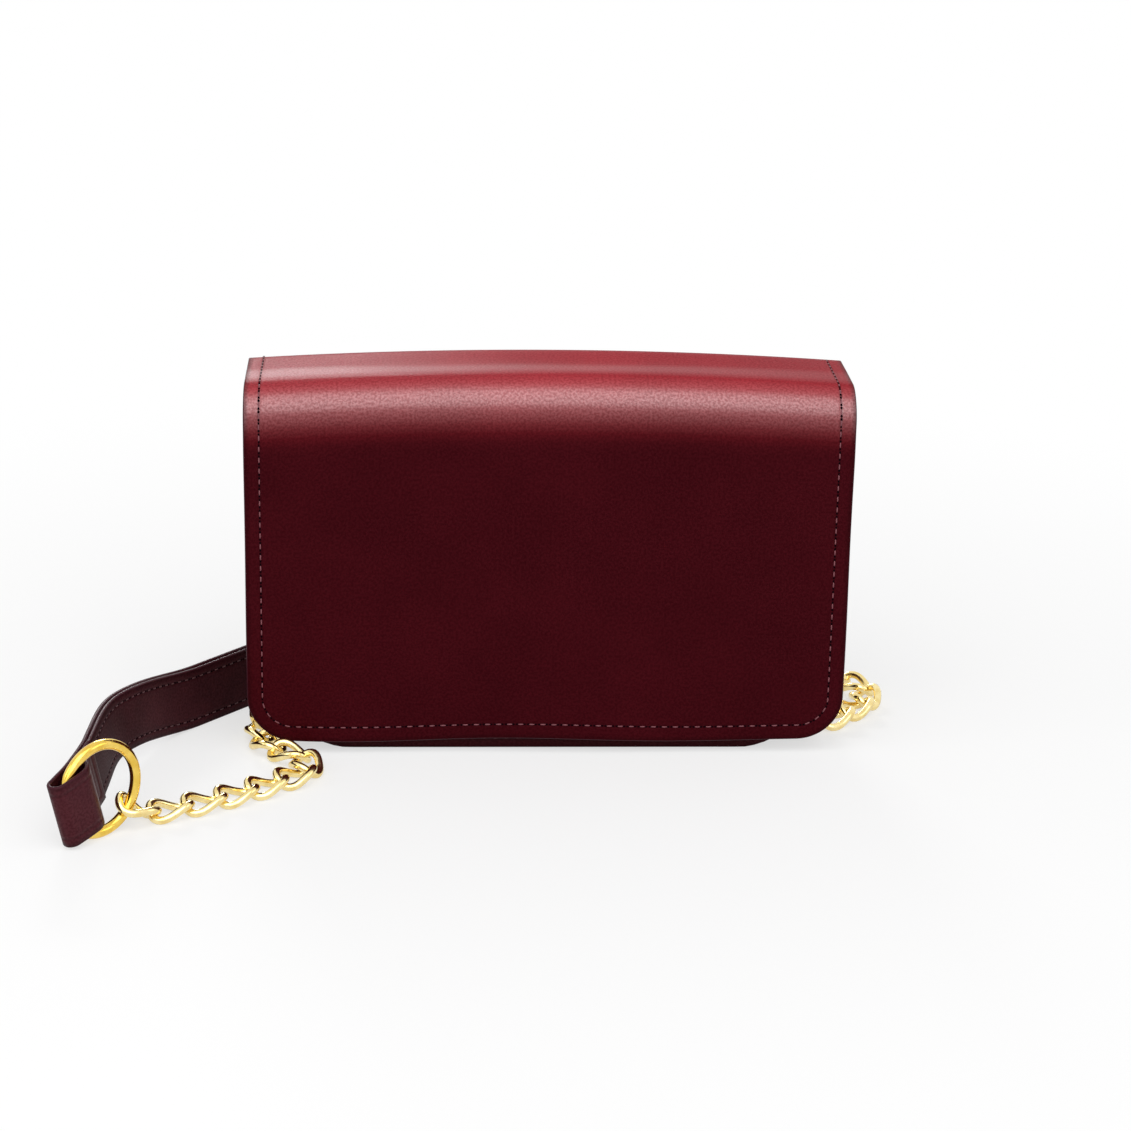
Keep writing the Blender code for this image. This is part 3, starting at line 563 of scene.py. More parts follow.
@dataclass
class Sheet:
    """A sheet of leather or cloth with a thickness and rounded edges.

    rows are the places of its outer face, all rows of one count. Seen from outside, the
    columns run to the right where the rows run away from the viewer's feet.
    """

    name: str
    rows: list[Places]
    flat: list[list[Pair]]
    thickness: float
    swell: float = 0.6
    # How much painted light each row gets on the leather's top.
    fold: Sequence[float] = ()
    gloss: Sequence[float] = ()
    rim_steps: int = 4

    def last_place(self) -> tuple[int, int]:
        """Return the numbers of the last row and the last column."""
        return len(self.rows) - 1, len(self.rows[0]) - 1

    def normals(self) -> list[Places]:
        """Return the outward normal at each place of the grid."""
        last, end = self.last_place()
        result = []
        for r in range(last + 1):
            line = []
            for c in range(end + 1):
                along = self.rows[min(r + 1, last)][c] - self.rows[max(r - 1, 0)][c]
                across = self.rows[r][min(c + 1, end)] - self.rows[r][max(c - 1, 0)]
                line.append(along.cross(across).normalized())
            result.append(line)
        return result

    def border(self) -> list[tuple[int, int]]:
        """Return the grid places round the sheet's border, in order."""
        last, end = self.last_place()
        loop = [(0, c) for c in range(end)] + [(r, end) for r in range(last)]
        return loop + [(last, c) for c in range(end, 0, -1)] + [(r, 0) for r in range(last, 0, -1)]

    def build(self, face, back, rim) -> Piece:
        """Make the sheet.

        Args:
            face: The outer face's material.
            back: The inner face's material.
            rim: The edges' material.

        Returns:
            The finished piece.
        """
        bench = MeshBench()
        last, end = self.last_place()
        normals = self.normals()
        border = self.border()
        outline = [self.flat[r][c] for r, c in border]
        edge = edge_distances([spot for line in self.flat for spot in line], outline)
        wide = end + 1
        fold = list(self.fold) or [0.0] * (last + 1)
        gloss = list(self.gloss) or [0.0] * (last + 1)
        for depth in (0.0, self.thickness):
            for r in range(last + 1):
                for c in range(wide):
                    bench.corner(self.rows[r][c] - normals[r][c] * depth, self.flat[r][c],
                                 edge[r * wide + c], fold[r], gloss[r])
        inner = (last + 1) * wide
        for r in range(last):
            for c in range(end):
                k = r * wide + c
                cell = (k, k + 1, k + 1 + wide, k + wide)
                bench.face(*cell)
                bench.face(*(inner + cell[n] for n in (0, 3, 2, 1)), slot=1)
        middle = self.rows[last // 2][end // 2]
        strips = []
        for n, (r, c) in enumerate(border):
            before, after = border[n - 1], border[(n + 1) % len(border)]
            ahead = self.rows[after[0]][after[1]] - self.rows[before[0]][before[1]]
            out = ahead.cross(normals[r][c]).normalized()
            inward = self.rows[min(max(r, 1), last - 1)][min(max(c, 1), end - 1)] - self.rows[r][c]
            if out.dot(inward if inward.length > 0 else middle - self.rows[r][c]) > 0:
                out = -out
            strip = [r * wide + c]
            for step in range(1, self.rim_steps):
                turn = pi * step / self.rim_steps
                half = self.thickness / 2
                place = self.rows[r][c] - normals[r][c] * half * (1 - cos(turn))
                place = place + out * half * self.swell * sin(turn)
                strip.append(bench.corner(place, self.flat[r][c], 0.0, fold[r], gloss[r]))
            strips.append(strip + [inner + r * wide + c])
        for first, second in zip(strips, strips[1:] + strips[:1]):
            for k in range(self.rim_steps):
                bench.face(first[k], first[k + 1], second[k + 1], second[k], slot=2)
        return bench.piece(self.name, (face, back, rim), 70.0)


def circle(sides: int) -> list[float]:
    """Return evenly spread angles round a circle."""
    return [2 * pi * n / sides for n in range(sides)]


def wire(bench: MeshBench, points: Places, radius: float, sides: int) -> None:
    """Add a round wire along a line that closes on itself.

    Args:
        bench: The mesh to add it to.
        points: The wire's middle line.
        radius: The wire's radius.
        sides: How many corners its section has.
    """
    centre = sum(points, Vector()) / len(points)
    rings = []
    for k, point in enumerate(points):
        ahead = (points[(k + 1) % len(points)] - points[k - 1]).normalized()
        out = point - centre
        out = (out - ahead * out.dot(ahead)).normalized()
        up = ahead.cross(out)
        rings.append([bench.corner(point + radius * (out * cos(t) + up * sin(t)),
                                   (k * 0.001, radius * t)) for t in circle(sides)])
    bench.rings(rings, closed=True)


def turned(name: str, profile: Sequence[Pair], origin: Vector, axis: Vector,
           material: Material, steps: int = 32) -> Piece:
    """Spin a profile about an axis.

    Args:
        name: The piece's name.
        profile: (radius, height) pairs, the first and last on the axis.
        origin: The foot of the axis.
        axis: The axis, from height 0 up.
        material: The finish.
        steps: How many corners a circle has.

    Returns:
        The turned piece.
    """
    bench = MeshBench()
    turn = Vector((0, 0, 1)).rotation_difference(axis).to_matrix()
    rings = []
    for radius, height in profile[1:-1]:
        rings.append([bench.corner(origin + turn @ Vector((radius * cos(a), radius * sin(a),
                                                           height))) for a in circle(steps)])
    bench.rings(rings)
    for (_, height), ring in ((profile[0], rings[0]), (profile[-1], rings[-1])):
        tip = bench.corner(origin + turn @ Vector((0, 0, height)))
        for k in range(steps):
            bench.face(tip, ring[k], ring[(k + 1) % steps])
    return bench.piece(name, (material,), 35.0)


def arc(centre: Pair, radius: float, start: float, end: float, steps: int):
    """Return points of a flat arc, ends included, angles in degrees."""
    turns = [radians(start + (end - start) * k / steps) for k in range(steps + 1)]
    return [(centre[0] + radius * cos(t), centre[1] + radius * sin(t)) for t in turns]


def smooth_route(points: Places, step: float, samples: int = 24) -> Places:
    """Read points at even steps from a smooth curve through the given ones.

    Args:
        points: The points to pass through.
        step: The longest step.
        samples: How finely each span is read.

    Returns:
        The route's points.
    """
    points = [Vector(p) for p in points]
    ends = [2 * points[0] - points[1]] + points + [2 * points[-1] - points[-2]]
    fine = []
    for a, b, c, d in zip(ends, ends[1:], ends[2:], ends[3:]):
        for k in range(samples):
            t = k / samples
            fine.append(0.5 * (2 * b + (c - a) * t + (2 * a - 5 * b + 4 * c - d) * t * t
                               + (3 * b - a - 3 * c + d) * t ** 3))
    fine.append(points[-1])
    lengths = route_lengths(fine)
    count = max(2, ceil(lengths[-1] / step))
    targets = (lengths[-1] * n / count for n in range(count + 1))
    return [fine[k].lerp(fine[k + 1], share) for k, share in stepped(lengths, targets)]


def stepped(lengths: Sequence[float], targets: Iterable[float]) -> Iterator[tuple[int, float]]:
    """Find places on a line by their distance along it.

    Args:
        lengths: The length from the line's start to each of its points.
        targets: The places' lengths, which only rise.

    Yields:
        The number of the span that a place is in, and its share of that span.
    """
    k = 0
    for target in targets:
        while k < len(lengths) - 2 and lengths[k + 1] < target:
            k += 1
        yield k, min(1.0, (target - lengths[k]) / max(lengths[k + 1] - lengths[k], 1e-9))


def route_lengths(route: Places) -> list[float]:
    """Return the length from the route's start to each of its points."""
    lengths = [0.0]
    for a, b in zip(route, route[1:]):
        lengths.append(lengths[-1] + (b - a).length)
    return lengths


def side_normals(route: Places) -> Places:
    """Return the unit normal on the left of a flat route at each point."""
    normals = []
    for k in range(len(route)):
        ahead = route[min(k + 1, len(route) - 1)] - route[max(k - 1, 0)]
        normals.append(Vector((-ahead.y, ahead.x)).normalized())
    return normals


def walk(route: Places, pitch: float) -> Places:
    """Return points on a route, each one pitch in a straight line from the last."""
    joints = [route[0]]
    k = 0
    while True:
        while k < len(route) and (route[k] - joints[-1]).length < pitch:
            k += 1
        if k >= len(route):
            return joints
        a, b = route[k - 1], route[k]
        low, high = 0.0, 1.0
        for _ in range(30):
            mid = (low + high) / 2
            if (a.lerp(b, mid) - joints[-1]).length < pitch:
                low = mid
            else:
                high = mid
        joints.append(a.lerp(b, high))


@dataclass
class Seats:
    """Places that carry a repeated shape, each with the way it points and its upper side."""

    spots: Places = field(default_factory=list)
    ahead: Places = field(default_factory=list)
    up: Places = field(default_factory=list)

    def add(self, spot: Vector, ahead: Vector, up: Vector) -> None:
        """Add one seat."""
        self.spots.append(spot)
        self.ahead.append(ahead.normalized())
        self.up.append(up.normalized())

    def along(self, line: Places, normals: Places, pitch: float) -> None:
        """Add seats at even steps along a line, the first half a step from its start.

        Args:
            line: The line's points.
            normals: The surface's normals there.
            pitch: The wanted step, changed a little so that whole steps fit.
        """
        lengths = route_lengths(line)
        count = max(1, round(lengths[-1] / pitch))
        targets = (lengths[-1] * (n + 0.5) / count for n in range(count))
        for k, share in stepped(lengths, targets):
            self.add(line[k].lerp(line[k + 1], share), line[k + 1] - line[k],
                     normals[k].lerp(normals[k + 1], share))


class Scatter:
    """Sets one shape on seats with Geometry Nodes, and turns the result into a plain mesh."""

    def __init__(self) -> None:
        """Build the node tree, with its inputs Shape, Uneven, Seed and Finish."""
        self.tree = bpy.data.node_groups.new("set_on_seats", "GeometryNodeTree")
        io = self.tree.interface
        io.new_socket("Seats", in_out="INPUT", socket_type="NodeSocketGeometry")
        self.keys = {name: io.new_socket(name, in_out="INPUT", socket_type=kind).identifier
                     for name, kind in (("Shape", "NodeSocketObject"),
                                        ("Uneven", "NodeSocketFloat"), ("Seed", "NodeSocketInt"),
                                        ("Finish", "NodeSocketMaterial"))}
        io.new_socket("Result", in_out="OUTPUT", socket_type="NodeSocketGeometry")
        bench = NodeBench.on(self.tree)
        source = bench.add("NodeGroupInput").outputs
        shape = bench.add("GeometryNodeObjectInfo", {"Object": source["Shape"]})
        ahead, up = (bench.add("GeometryNodeInputNamedAttribute", {"Name": name},
                               data_type="FLOAT_VECTOR") for name in ("ahead", "up"))
        axes = bench.add("FunctionNodeAxesToRotation", {
            0: ahead.outputs["Attribute"], 1: up.outputs["Attribute"]},
            primary_axis="X", secondary_axis="Z")
        chance = bench.add("FunctionNodeRandomValue", {"Seed": source["Seed"]}, data_type="FLOAT")
        limits = [s for s in chance.inputs if s.type == "VALUE" and s.enabled]
        bench.feed(limits[0], bench.math("SUBTRACT", 1.0, source["Uneven"]))
        bench.feed(limits[1], 1.0)
        place = bench.add("GeometryNodeInstanceOnPoints", {
            "Points": source["Seats"], "Instance": shape.outputs["Geometry"],
            "Rotation": axes.outputs[0], "Scale": next(s for s in chance.outputs if s.enabled)})
        real = bench.add("GeometryNodeRealizeInstances", {"Geometry": place.outputs["Instances"]})
        finish = bench.add("GeometryNodeSetMaterial", {"Geometry": real.outputs["Geometry"],
                                                       "Material": source["Finish"]})
        bench.add("NodeGroupOutput", {"Result": finish.outputs["Geometry"]})

    def piece(self, name: str, seats: Seats, shape: Piece,
              material: Material, uneven: float = 0.0, seed: int = 1):
        """Make one piece of all the shapes.

        Args:
            name: The piece's name.
            seats: Where they go.
            shape: The shape, about its own origin, pointing along X with Z up.
            material: The finish.
            uneven: How much smaller the smallest is, as a share.
            seed: The seed of the sizes.

        Returns:
            The piece, a plain mesh.
        """
        mesh = bpy.data.meshes.new(name + "_seats")
        mesh.from_pydata([tuple(s) for s in seats.spots], [], [])
        for key, values in (("ahead", seats.ahead), ("up", seats.up)):
            layer = mesh.attributes.new(key, "FLOAT_VECTOR", "POINT")
            layer.data.foreach_set("vector", [c for v in values for c in v])
        holder = linked(name + "_holder", mesh)
        modifier = holder.modifiers.new("scatter", "NODES")
        modifier.node_group = self.tree
        for key, value in (("Shape", shape), ("Uneven", uneven), ("Seed", seed),
                           ("Finish", material)):
            modifier[self.keys[key]] = value
        holder.update_tag()
        graph = bpy.context.evaluated_depsgraph_get()
        graph.update()
        real = bpy.data.meshes.new_from_object(holder.evaluated_get(graph))
        real.name = name
        bpy.data.objects.remove(holder)
        log.info("%s: %d shapes, %d faces", name, len(seats.spots), len(real.polygons))
        return linked(name, real)


def thread_shape(length: float, width: float, rise: float) -> Piece:
    """Return one stitch: a thread that comes out of the leather and dives back in.

    Args:
        length: The stitch's length.
        width: The thread's thickness.
        rise: How far its middle stands over the leather.
    """
    bench = MeshBench()
    rings = []
    steps, sides = 7, 6
    for k in range(steps + 1):
        t = k / steps
        x = (t - 0.5) * length
        z = rise * sin(pi * t) ** 0.7 - width * 0.55
        radius = width / 2 * (0.35 + 0.65 * sin(pi * t) ** 0.4 if 0 < t < 1 else 0.35)
        rings.append([bench.corner(Vector((x, radius * cos(a), z + radius * 0.8 * sin(a))),
                                   (x, radius * a)) for a in circle(sides)])
    bench.rings(rings)
    bench.face(*rings[0][::-1])
    bench.face(*rings[-1])
    return bench.piece("thread_shape", (), 80.0)


def hole_shape(length: float, radius: float) -> Piece:
    """Return the two needle holes at the ends of a stitch, as flat dimples; their dark finish is
    painted shade.
    """
    bench = MeshBench()
    for end in (-0.5, 0.5):
        rings = []
        for size, height in ((1.0, -0.00012), (0.75, 0.00003)):
            rings.append([bench.corner(Vector((end * length + radius * size * 1.35 * cos(a),
                                               radius * size * sin(a), height)))
                          for a in circle(6)])
        bench.rings(rings)
        bench.face(*rings[0][::-1])
        bench.face(*rings[1])
    return bench.piece("hole_shape", (), 80.0)


@dataclass
class Seamstress:
    """Sews lines of stitches: thread pieces and the needle holes at their ends, dark with painted
    shade.
    """

    scatter: Scatter
    thread: Material
    hole_shade: Material
    pitch: float = 0.0043
    length: float = 0.0027
    width: float = 0.00058
    rise: float = 0.00038
    hole_radius: float = 0.0005
    hole_spread: float = 1.10
    unevenness: float = 0.06

    def __post_init__(self) -> None:
        """Make the two shapes that are repeated."""
        self.stitch = thread_shape(self.length, self.width, self.rise)
        self.pair = hole_shape(self.length * self.hole_spread, self.hole_radius)

    def sew(self, name: str, seats: Seats, seed: int, thread=None) -> list[Piece]:
        """Sew one seam.

        Args:
            name: The seam's name.
            seats: Its stitches' places.
            seed: The seed of the stitches' small differences.
            thread: Another thread than the bag's.

        Returns:
            The thread piece and the needle holes.
        """
        return [self.scatter.piece(name, seats, self.stitch, thread or self.thread,
                                   self.unevenness, seed),
                self.scatter.piece(name + "_holes", seats, self.pair, self.hole_shade, 0.0, seed)]

    def tidy(self) -> None:
        """Remove the shapes that were repeated."""
        for shape in (self.stitch, self.pair):
            bpy.data.objects.remove(shape)


@dataclass(frozen=True)
class BagSizes:
    """Sizes that several pieces of the bag share, in metres."""

    leather: float = 0.0015
    panel: float = 0.0016
    gusset: float = 0.0014
    gap: float = 0.0003
    lining: float = 0.0008
    board: float = 0.0011
    body_half: float = 0.1045
    body_height: float = 0.137
    body_corner: float = 0.030
    flange: float = 0.0075
    front_face: float = -0.0008
    back_face: float = 0.0426
    flap_half: float = 0.115
    flap_front: float = -0.0079
    flap_top: float = 0.1461
    flap_bottom: float = 0.006
    flap_corner: float = 0.017
    front_roll: float = 0.013
    back_roll: float = 0.0035
    knuckle: float = 0.142
    arch: float = 0.0038
    flare: float = 0.028
    shoulder: float = 0.0003
    front_crown: float = 0.0011
    back_crown: float = 0.0012
    top_sag: float = 0.0008
    edge_wave: float = 0.0007
    rough: float = 0.0003
    rough_scale: float = 22.0

    @property
    def web_half(self) -> float:
        """Half the width between the outer faces of the gusset's sides."""
        return self.body_half - self.flange

    @property
    def gusset_middle(self) -> float:
        """The depth of the gusset's middle."""
        return (self.front_face + self.back_face) / 2

    @property
    def front_layer(self) -> float:
        """The depth behind the front panel."""
        return self.front_face + self.panel + self.gap

    @property
    def back_layer(self) -> float:
        """The depth in front of the back panel."""
        return self.back_face - self.panel - self.gap


SIZES = BagSizes()


class ShellForm:
    """The one sheet of leather that is the back panel, the top and the flap.

    A place on it is (across, run): the run starts at the lower edge of the back, goes up,
    over the top and down the front.
    """

    def __init__(self, sizes: BagSizes) -> None:
        """Work out where each part of the sheet starts.

        Args:
            sizes: The bag's sizes.
        """
        s = self.sizes = sizes
        self.top_start = s.knuckle + pi / 2 * s.back_roll
        top = (s.back_face - s.back_roll) - (s.flap_front + s.front_roll)
        self.roll_start = self.top_start + top
        self.drop_start = self.roll_start + pi / 2 * s.front_roll
        self.end = self.drop_start + s.flap_top - s.front_roll - s.flap_bottom

    def half(self, run: float) -> float:
        """Return the sheet's half width at a run."""
        s = self.sizes
        if run < s.body_corner:
            return s.body_half + round_off(s.body_corner, run)
        flare = smoothstep(s.knuckle - s.flare, s.knuckle, run)
        fall = (run - self.drop_start) / (self.end - self.drop_start)
        shoulder = smoothstep(s.knuckle, self.drop_start, run) * (1 - smoothstep(0.1, 0.8, fall))
        wide = s.body_half + (s.flap_half - s.body_half) * flare + s.shoulder * shoulder
        return wide + round_off(s.flap_corner, self.end - run)

    def outer(self, across: float, run: float) -> Vector:
        """Return the place in space of a place on the outer face."""
        s = self.sizes
        u = across / s.flap_half
        bow = 1 - min(1.0, u * u)
        lift = s.arch * (1 - u * u)
        rough = s.rough * noise.noise(Vector((across * s.rough_scale, run * s.rough_scale, 3.7)))
        if run < s.knuckle:
            rise = smoothstep(s.knuckle - s.flare, s.knuckle, run)
            puff = s.back_crown * sin(pi * run / s.knuckle) ** 2 * bow
            return Vector((across, s.back_face + puff + rough * bow, run + lift * rise))
        if run < self.top_start:
            turn = (run - s.knuckle) / s.back_roll
            return Vector((across, s.back_face - s.back_roll * (1 - cos(turn)),
                           s.knuckle + s.back_roll * sin(turn) + lift))
        if run < self.roll_start:
            t = (run - self.top_start) / (self.roll_start - self.top_start)
            sag = s.top_sag * sin(pi * t) ** 2 * bow + 4 / 3 * rough * sin(pi * t)
            return Vector((across, s.back_face - s.back_roll - (run - self.top_start),
                           s.flap_top + lift - sag))
        centre = s.flap_front + s.front_roll
        if run < self.drop_start:
            turn = (run - self.roll_start) / s.front_roll
            return Vector((across, centre - s.front_roll * sin(turn),
                           s.flap_top - s.front_roll * (1 - cos(turn)) + lift))
        t = min(1.0, (run - self.drop_start) / (self.end - self.drop_start))
        crown = s.front_crown * sin(pi * min(1.0, t / 0.66)) ** 2 * bow
        wave = s.edge_wave * smoothstep(0.0, 0.15, t)
        curl = wave * (sin(run * 71) * abs(u) ** 7 + sin(across * 57 + 0.6) * t ** 8)
        dip = s.edge_wave * sin(across * 49 + 1.9) * smoothstep(0.8, 1.0, t)
        return Vector((across, s.flap_front - crown - rough * (1 - t) - curl,
                       s.flap_top - s.front_roll - (run - self.drop_start) + lift * (1 - t) + dip))

    def normal(self, across: float, run: float) -> Vector:
        """Return the outward normal at a place on the sheet."""
        step = 0.0004
        after, before = min(run + step, self.end), max(run - step, 0)
        along = self.outer(across, after) - self.outer(across, before)
        side = self.outer(across + step, run) - self.outer(across - step, run)
        return along.cross(side).normalized()

    def under(self, across: float, run: float, depth: float) -> Vector:
        """Return the place in space at a depth under the outer face."""
        return self.outer(across, run) - self.normal(across, run) * depth

    def runs(self, start: float = 0.0) -> list[float]:
        """Return the rows' runs, close together where the sheet turns."""
        s = self.sizes
        low = [s.body_corner * (1 - cos(pi / 2 * k / 14)) for k in range(14)]
        places = (s.body_corner, s.knuckle - s.flare, s.knuckle, self.top_start, self.roll_start,
                  self.drop_start, self.end - s.flap_corner)
        steps = (0.004, 0.0025, 0.0006, 0.0025, 0.0009, 0.0035)
        for a, b, step in zip(places, places[1:], steps):
            count = max(1, ceil((b - a) / step))
            low += [a + (b - a) * k / count for k in range(count)]
        low += [self.end - s.flap_corner + s.flap_corner * sin(pi / 2 * k / 14) for k in range(15)]
        return [run for run in low if run >= start] if start else low

    def seam(self, inset: Callable[[float], float]) -> list[Pair]:
        """Return a closed line at an inset from the sheet's outline.

        Args:
            inset: The inset at a run.

        Returns:
            Places on the sheet, up the left side and down the right one.
        """
        runs = self.runs()
        left = [(-self.half(run), run) for run in runs]
        across = [(self.half(self.end) * (k / 20 - 1), self.end) for k in range(1, 40)]
        right = [(-x, run) for x, run in left[::-1]]
        below = [(self.half(0) * (1 - k / 20), 0.0) for k in range(1, 40)]
        outline = left + across + right + below
        line = []
        for k, (x, run) in enumerate(outline):
            a, b = outline[k - 2], outline[(k + 2) % len(outline)]
            ahead = Vector((b[0] - a[0], b[1] - a[1])).normalized()
            line.append((x + ahead.y * inset(run), run - ahead.x * inset(run)))
        return line


def round_off(radius: float, away: float) -> float:
    """Return how much a round corner takes off a half width, as a value of 0 or less.

    Args:
        radius: The corner's radius.
        away: The distance from the edge that the corner runs into.
    """
    low = max(0.0, min(radius, radius - away))
    return sqrt(max(0.0, radius ** 2 - low ** 2)) - radius


def columns(count: int, ease: float = 0.35) -> list[float]:
    """Return places from -1 to 1 that lie closer together near the ends."""
    shares = [2 * k / count - 1 for k in range(count + 1)]
    return [(1 - ease) * t + ease * sin(t * pi / 2) for t in shares]


SEAM_INSET = 0.0055
BACK_SEAM_INSET = 0.0039


@dataclass
class Shell:
    """The flap bag's outer sheet: back panel, top and flap in one, with its perimeter seam."""

    form: ShellForm
    palette: Palette
    seamstress: Seamstress
    count: int = 72

    def painted_light_share(self, run: float) -> float:
        """Return how much painted light the leather gets: 1 on the top, fading in over the back
        roll and out down the front, 0 elsewhere.
        """
        form = self.form
        up = smoothstep(form.sizes.knuckle - 0.004, form.top_start, run)
        return up * (1 - smoothstep(form.roll_start + 0.005, form.drop_start + 0.013, run))

    def gloss_share(self, run: float) -> float:
        """Return how polished the leather is: most of all on the roll over the front edge."""
        form = self.form
        turn = (run - form.roll_start) / form.sizes.front_roll
        roll = smoothstep(0.20, 0.95, turn) * (1 - smoothstep(1.10, 2.05, turn))
        top = smoothstep(-1.3, -0.9, turn) * (1 - smoothstep(-0.5, -0.05, turn))
        return roll + 0.03 * top

    def build(self) -> list[Piece]:
        """Make the leather sheet.

        Returns:
            The sheet.
        """
        runs = self.form.runs()
        shares = columns(self.count)
        rows, flat = [], []
        for run in runs:
            half = self.form.half(run)
            rows.append([self.form.outer(half * u, run) for u in shares])
            flat.append([(half * u, run) for u in shares])
        sheet = Sheet("leather_shell", rows, flat, self.form.sizes.leather,
                      fold=[self.painted_light_share(run) for run in runs],
                      gloss=[self.gloss_share(run) for run in runs])
        return [sheet.build(self.palette.flap, self.palette.suede, self.palette.edge)]

    def inset(self, run: float) -> float:
        """Return the seam's inset: wide on the flap, narrow on the back."""
        share = smoothstep(self.form.sizes.knuckle - 0.03, self.form.sizes.knuckle, run)
        return BACK_SEAM_INSET + (SEAM_INSET - BACK_SEAM_INSET) * share

    def sew(self) -> list[Piece]:
        """Sew the seam round the whole sheet."""
        line = self.form.seam(self.inset)
        line.append(line[0])
        seats = Seats()
        seats.along([self.form.outer(x, run) for x, run in line],
                    [self.form.normal(x, run) for x, run in line], self.seamstress.pitch)
        return self.seamstress.sew("shell_stitches", seats, 5)


@dataclass
class FlapInside:
    """The leather that lines the flap, with the back of the flap's seam."""

    form: ShellForm
    palette: Palette
    seamstress: Seamstress
    thickness: float = 0.00138
    glue: float = 0.00002
    setback: float = 0.002
    trim: float = 0.0004

    def build(self) -> list[Piece]:
        """Make the lining sheet and the seam's inner side."""
        form = self.form
        start = form.top_start + self.setback
        runs = [start] + form.runs(start + 0.0005)[:-1] + [form.end]
        shares = columns(56)
        depth = form.sizes.leather + self.glue + self.thickness
        rows, flat = [], []
        for run in runs:
            half = form.half(run) - self.trim
            near = min(run, form.end - self.trim)
            rows.append([form.under(half * u, near, depth) for u in shares[::-1]])
            flat.append([(half * u, near) for u in shares[::-1]])
        sheet = Sheet("flap_inside", rows, flat, self.thickness)
        piece = sheet.build(self.palette.suede, self.palette.suede, self.palette.edge)
        line = [(x, run) for x, run in form.seam(lambda run: SEAM_INSET) if run > start + 0.004]
        seats = Seats()
        seats.along([form.under(x, run, depth) for x, run in line],
                    [-form.normal(x, run) for x, run in line], self.seamstress.pitch)
        return [piece] + self.seamstress.sew("flap_inside_stitches", seats, 6)


@dataclass
class FlatPanel:
    """A panel with round lower corners that faces the front or the back of the bag."""

    name: str
    half: float
    bottom: float
    top: float
    corner: float
    depth: float
    faces_front: bool
    thickness: float
    relief: Callable[[float, float], float] = lambda x, z: 0.0
    step: float = 0.005

    def half_at(self, z: float) -> float:
        """Return the half width at a height."""
        return self.half + round_off(self.corner, z - self.bottom)

    def place(self, x: float, z: float) -> Vector:
        """Return a place on the panel's face."""
        out = -1 if self.faces_front else 1
        return Vector((x, self.depth + out * self.relief(x, z), z))

    def build(self, face, back, rim) -> Piece:
        """Make the panel.

        Args:
            face: The face's material.
            back: The other side's material.
            rim: The edges' material.

        Returns:
            The panel.
        """
        heights = [self.bottom + self.corner * (1 - cos(pi / 2 * k / 12)) for k in range(12)]
        count = max(2, ceil((self.top - self.bottom - self.corner) / self.step))
        straight = self.top - self.bottom - self.corner
        heights += [self.bottom + self.corner + straight * k / count for k in range(count + 1)]
        shares = columns(max(12, ceil(2 * self.half / self.step)))
        if self.faces_front:
            heights = heights[::-1]
        rows = [[self.place(self.half_at(z) * u, z) for u in shares] for z in heights]
        flat = [[(self.half_at(z) * u, z) for u in shares] for z in heights]
        return Sheet(self.name, rows, flat, self.thickness).build(face, back, rim)

    def seam(self, inset: float) -> tuple[Places, Places]:
        """Return a seam down one side, along the bottom and up the other, with its normals."""
        line = [(-self.half + inset, self.top - inset)]
        for side, start in ((-1, 180), (1, 270)):
            centre = (side * (self.half - self.corner), self.bottom + self.corner)
            line += arc(centre, self.corner - inset, start, start + 90, 12)
        return self.on_face(subdivided(line + [(self.half - inset, self.top - inset)]))

    def hem(self, drop: float, margin: int) -> tuple[Places, Places]:
        """Return a straight seam under the upper edge, with its normals.

        Args:
            drop: Its distance from the edge.
            margin: How many thirtieths of the half width it stops short of each side.
        """
        return self.on_face([(self.half * (k / 30 - 1), self.top - drop)
                             for k in range(margin, 61 - margin)])

    def on_face(self, line: Sequence[Pair]) -> tuple[Places, Places]:
        """Return a line's places on the panel's face, and the face's normal at each."""
        out = Vector((0, -1 if self.faces_front else 1, 0))
        return [self.place(x, z) for x, z in line], [out] * len(line)


def subdivided(line: Sequence[Pair], step: float = 0.003):
    """Return a flat line's points with more of them put on its long straight parts."""
    fine = []
    for a, b in zip(line, line[1:]):
        count = max(1, ceil(hypot(b[0] - a[0], b[1] - a[1]) / step))
        fine += [(a[0] + (b[0] - a[0]) * k / count, a[1] + (b[1] - a[1]) * k / count)
                 for k in range(count)]
    return fine + [line[-1]]


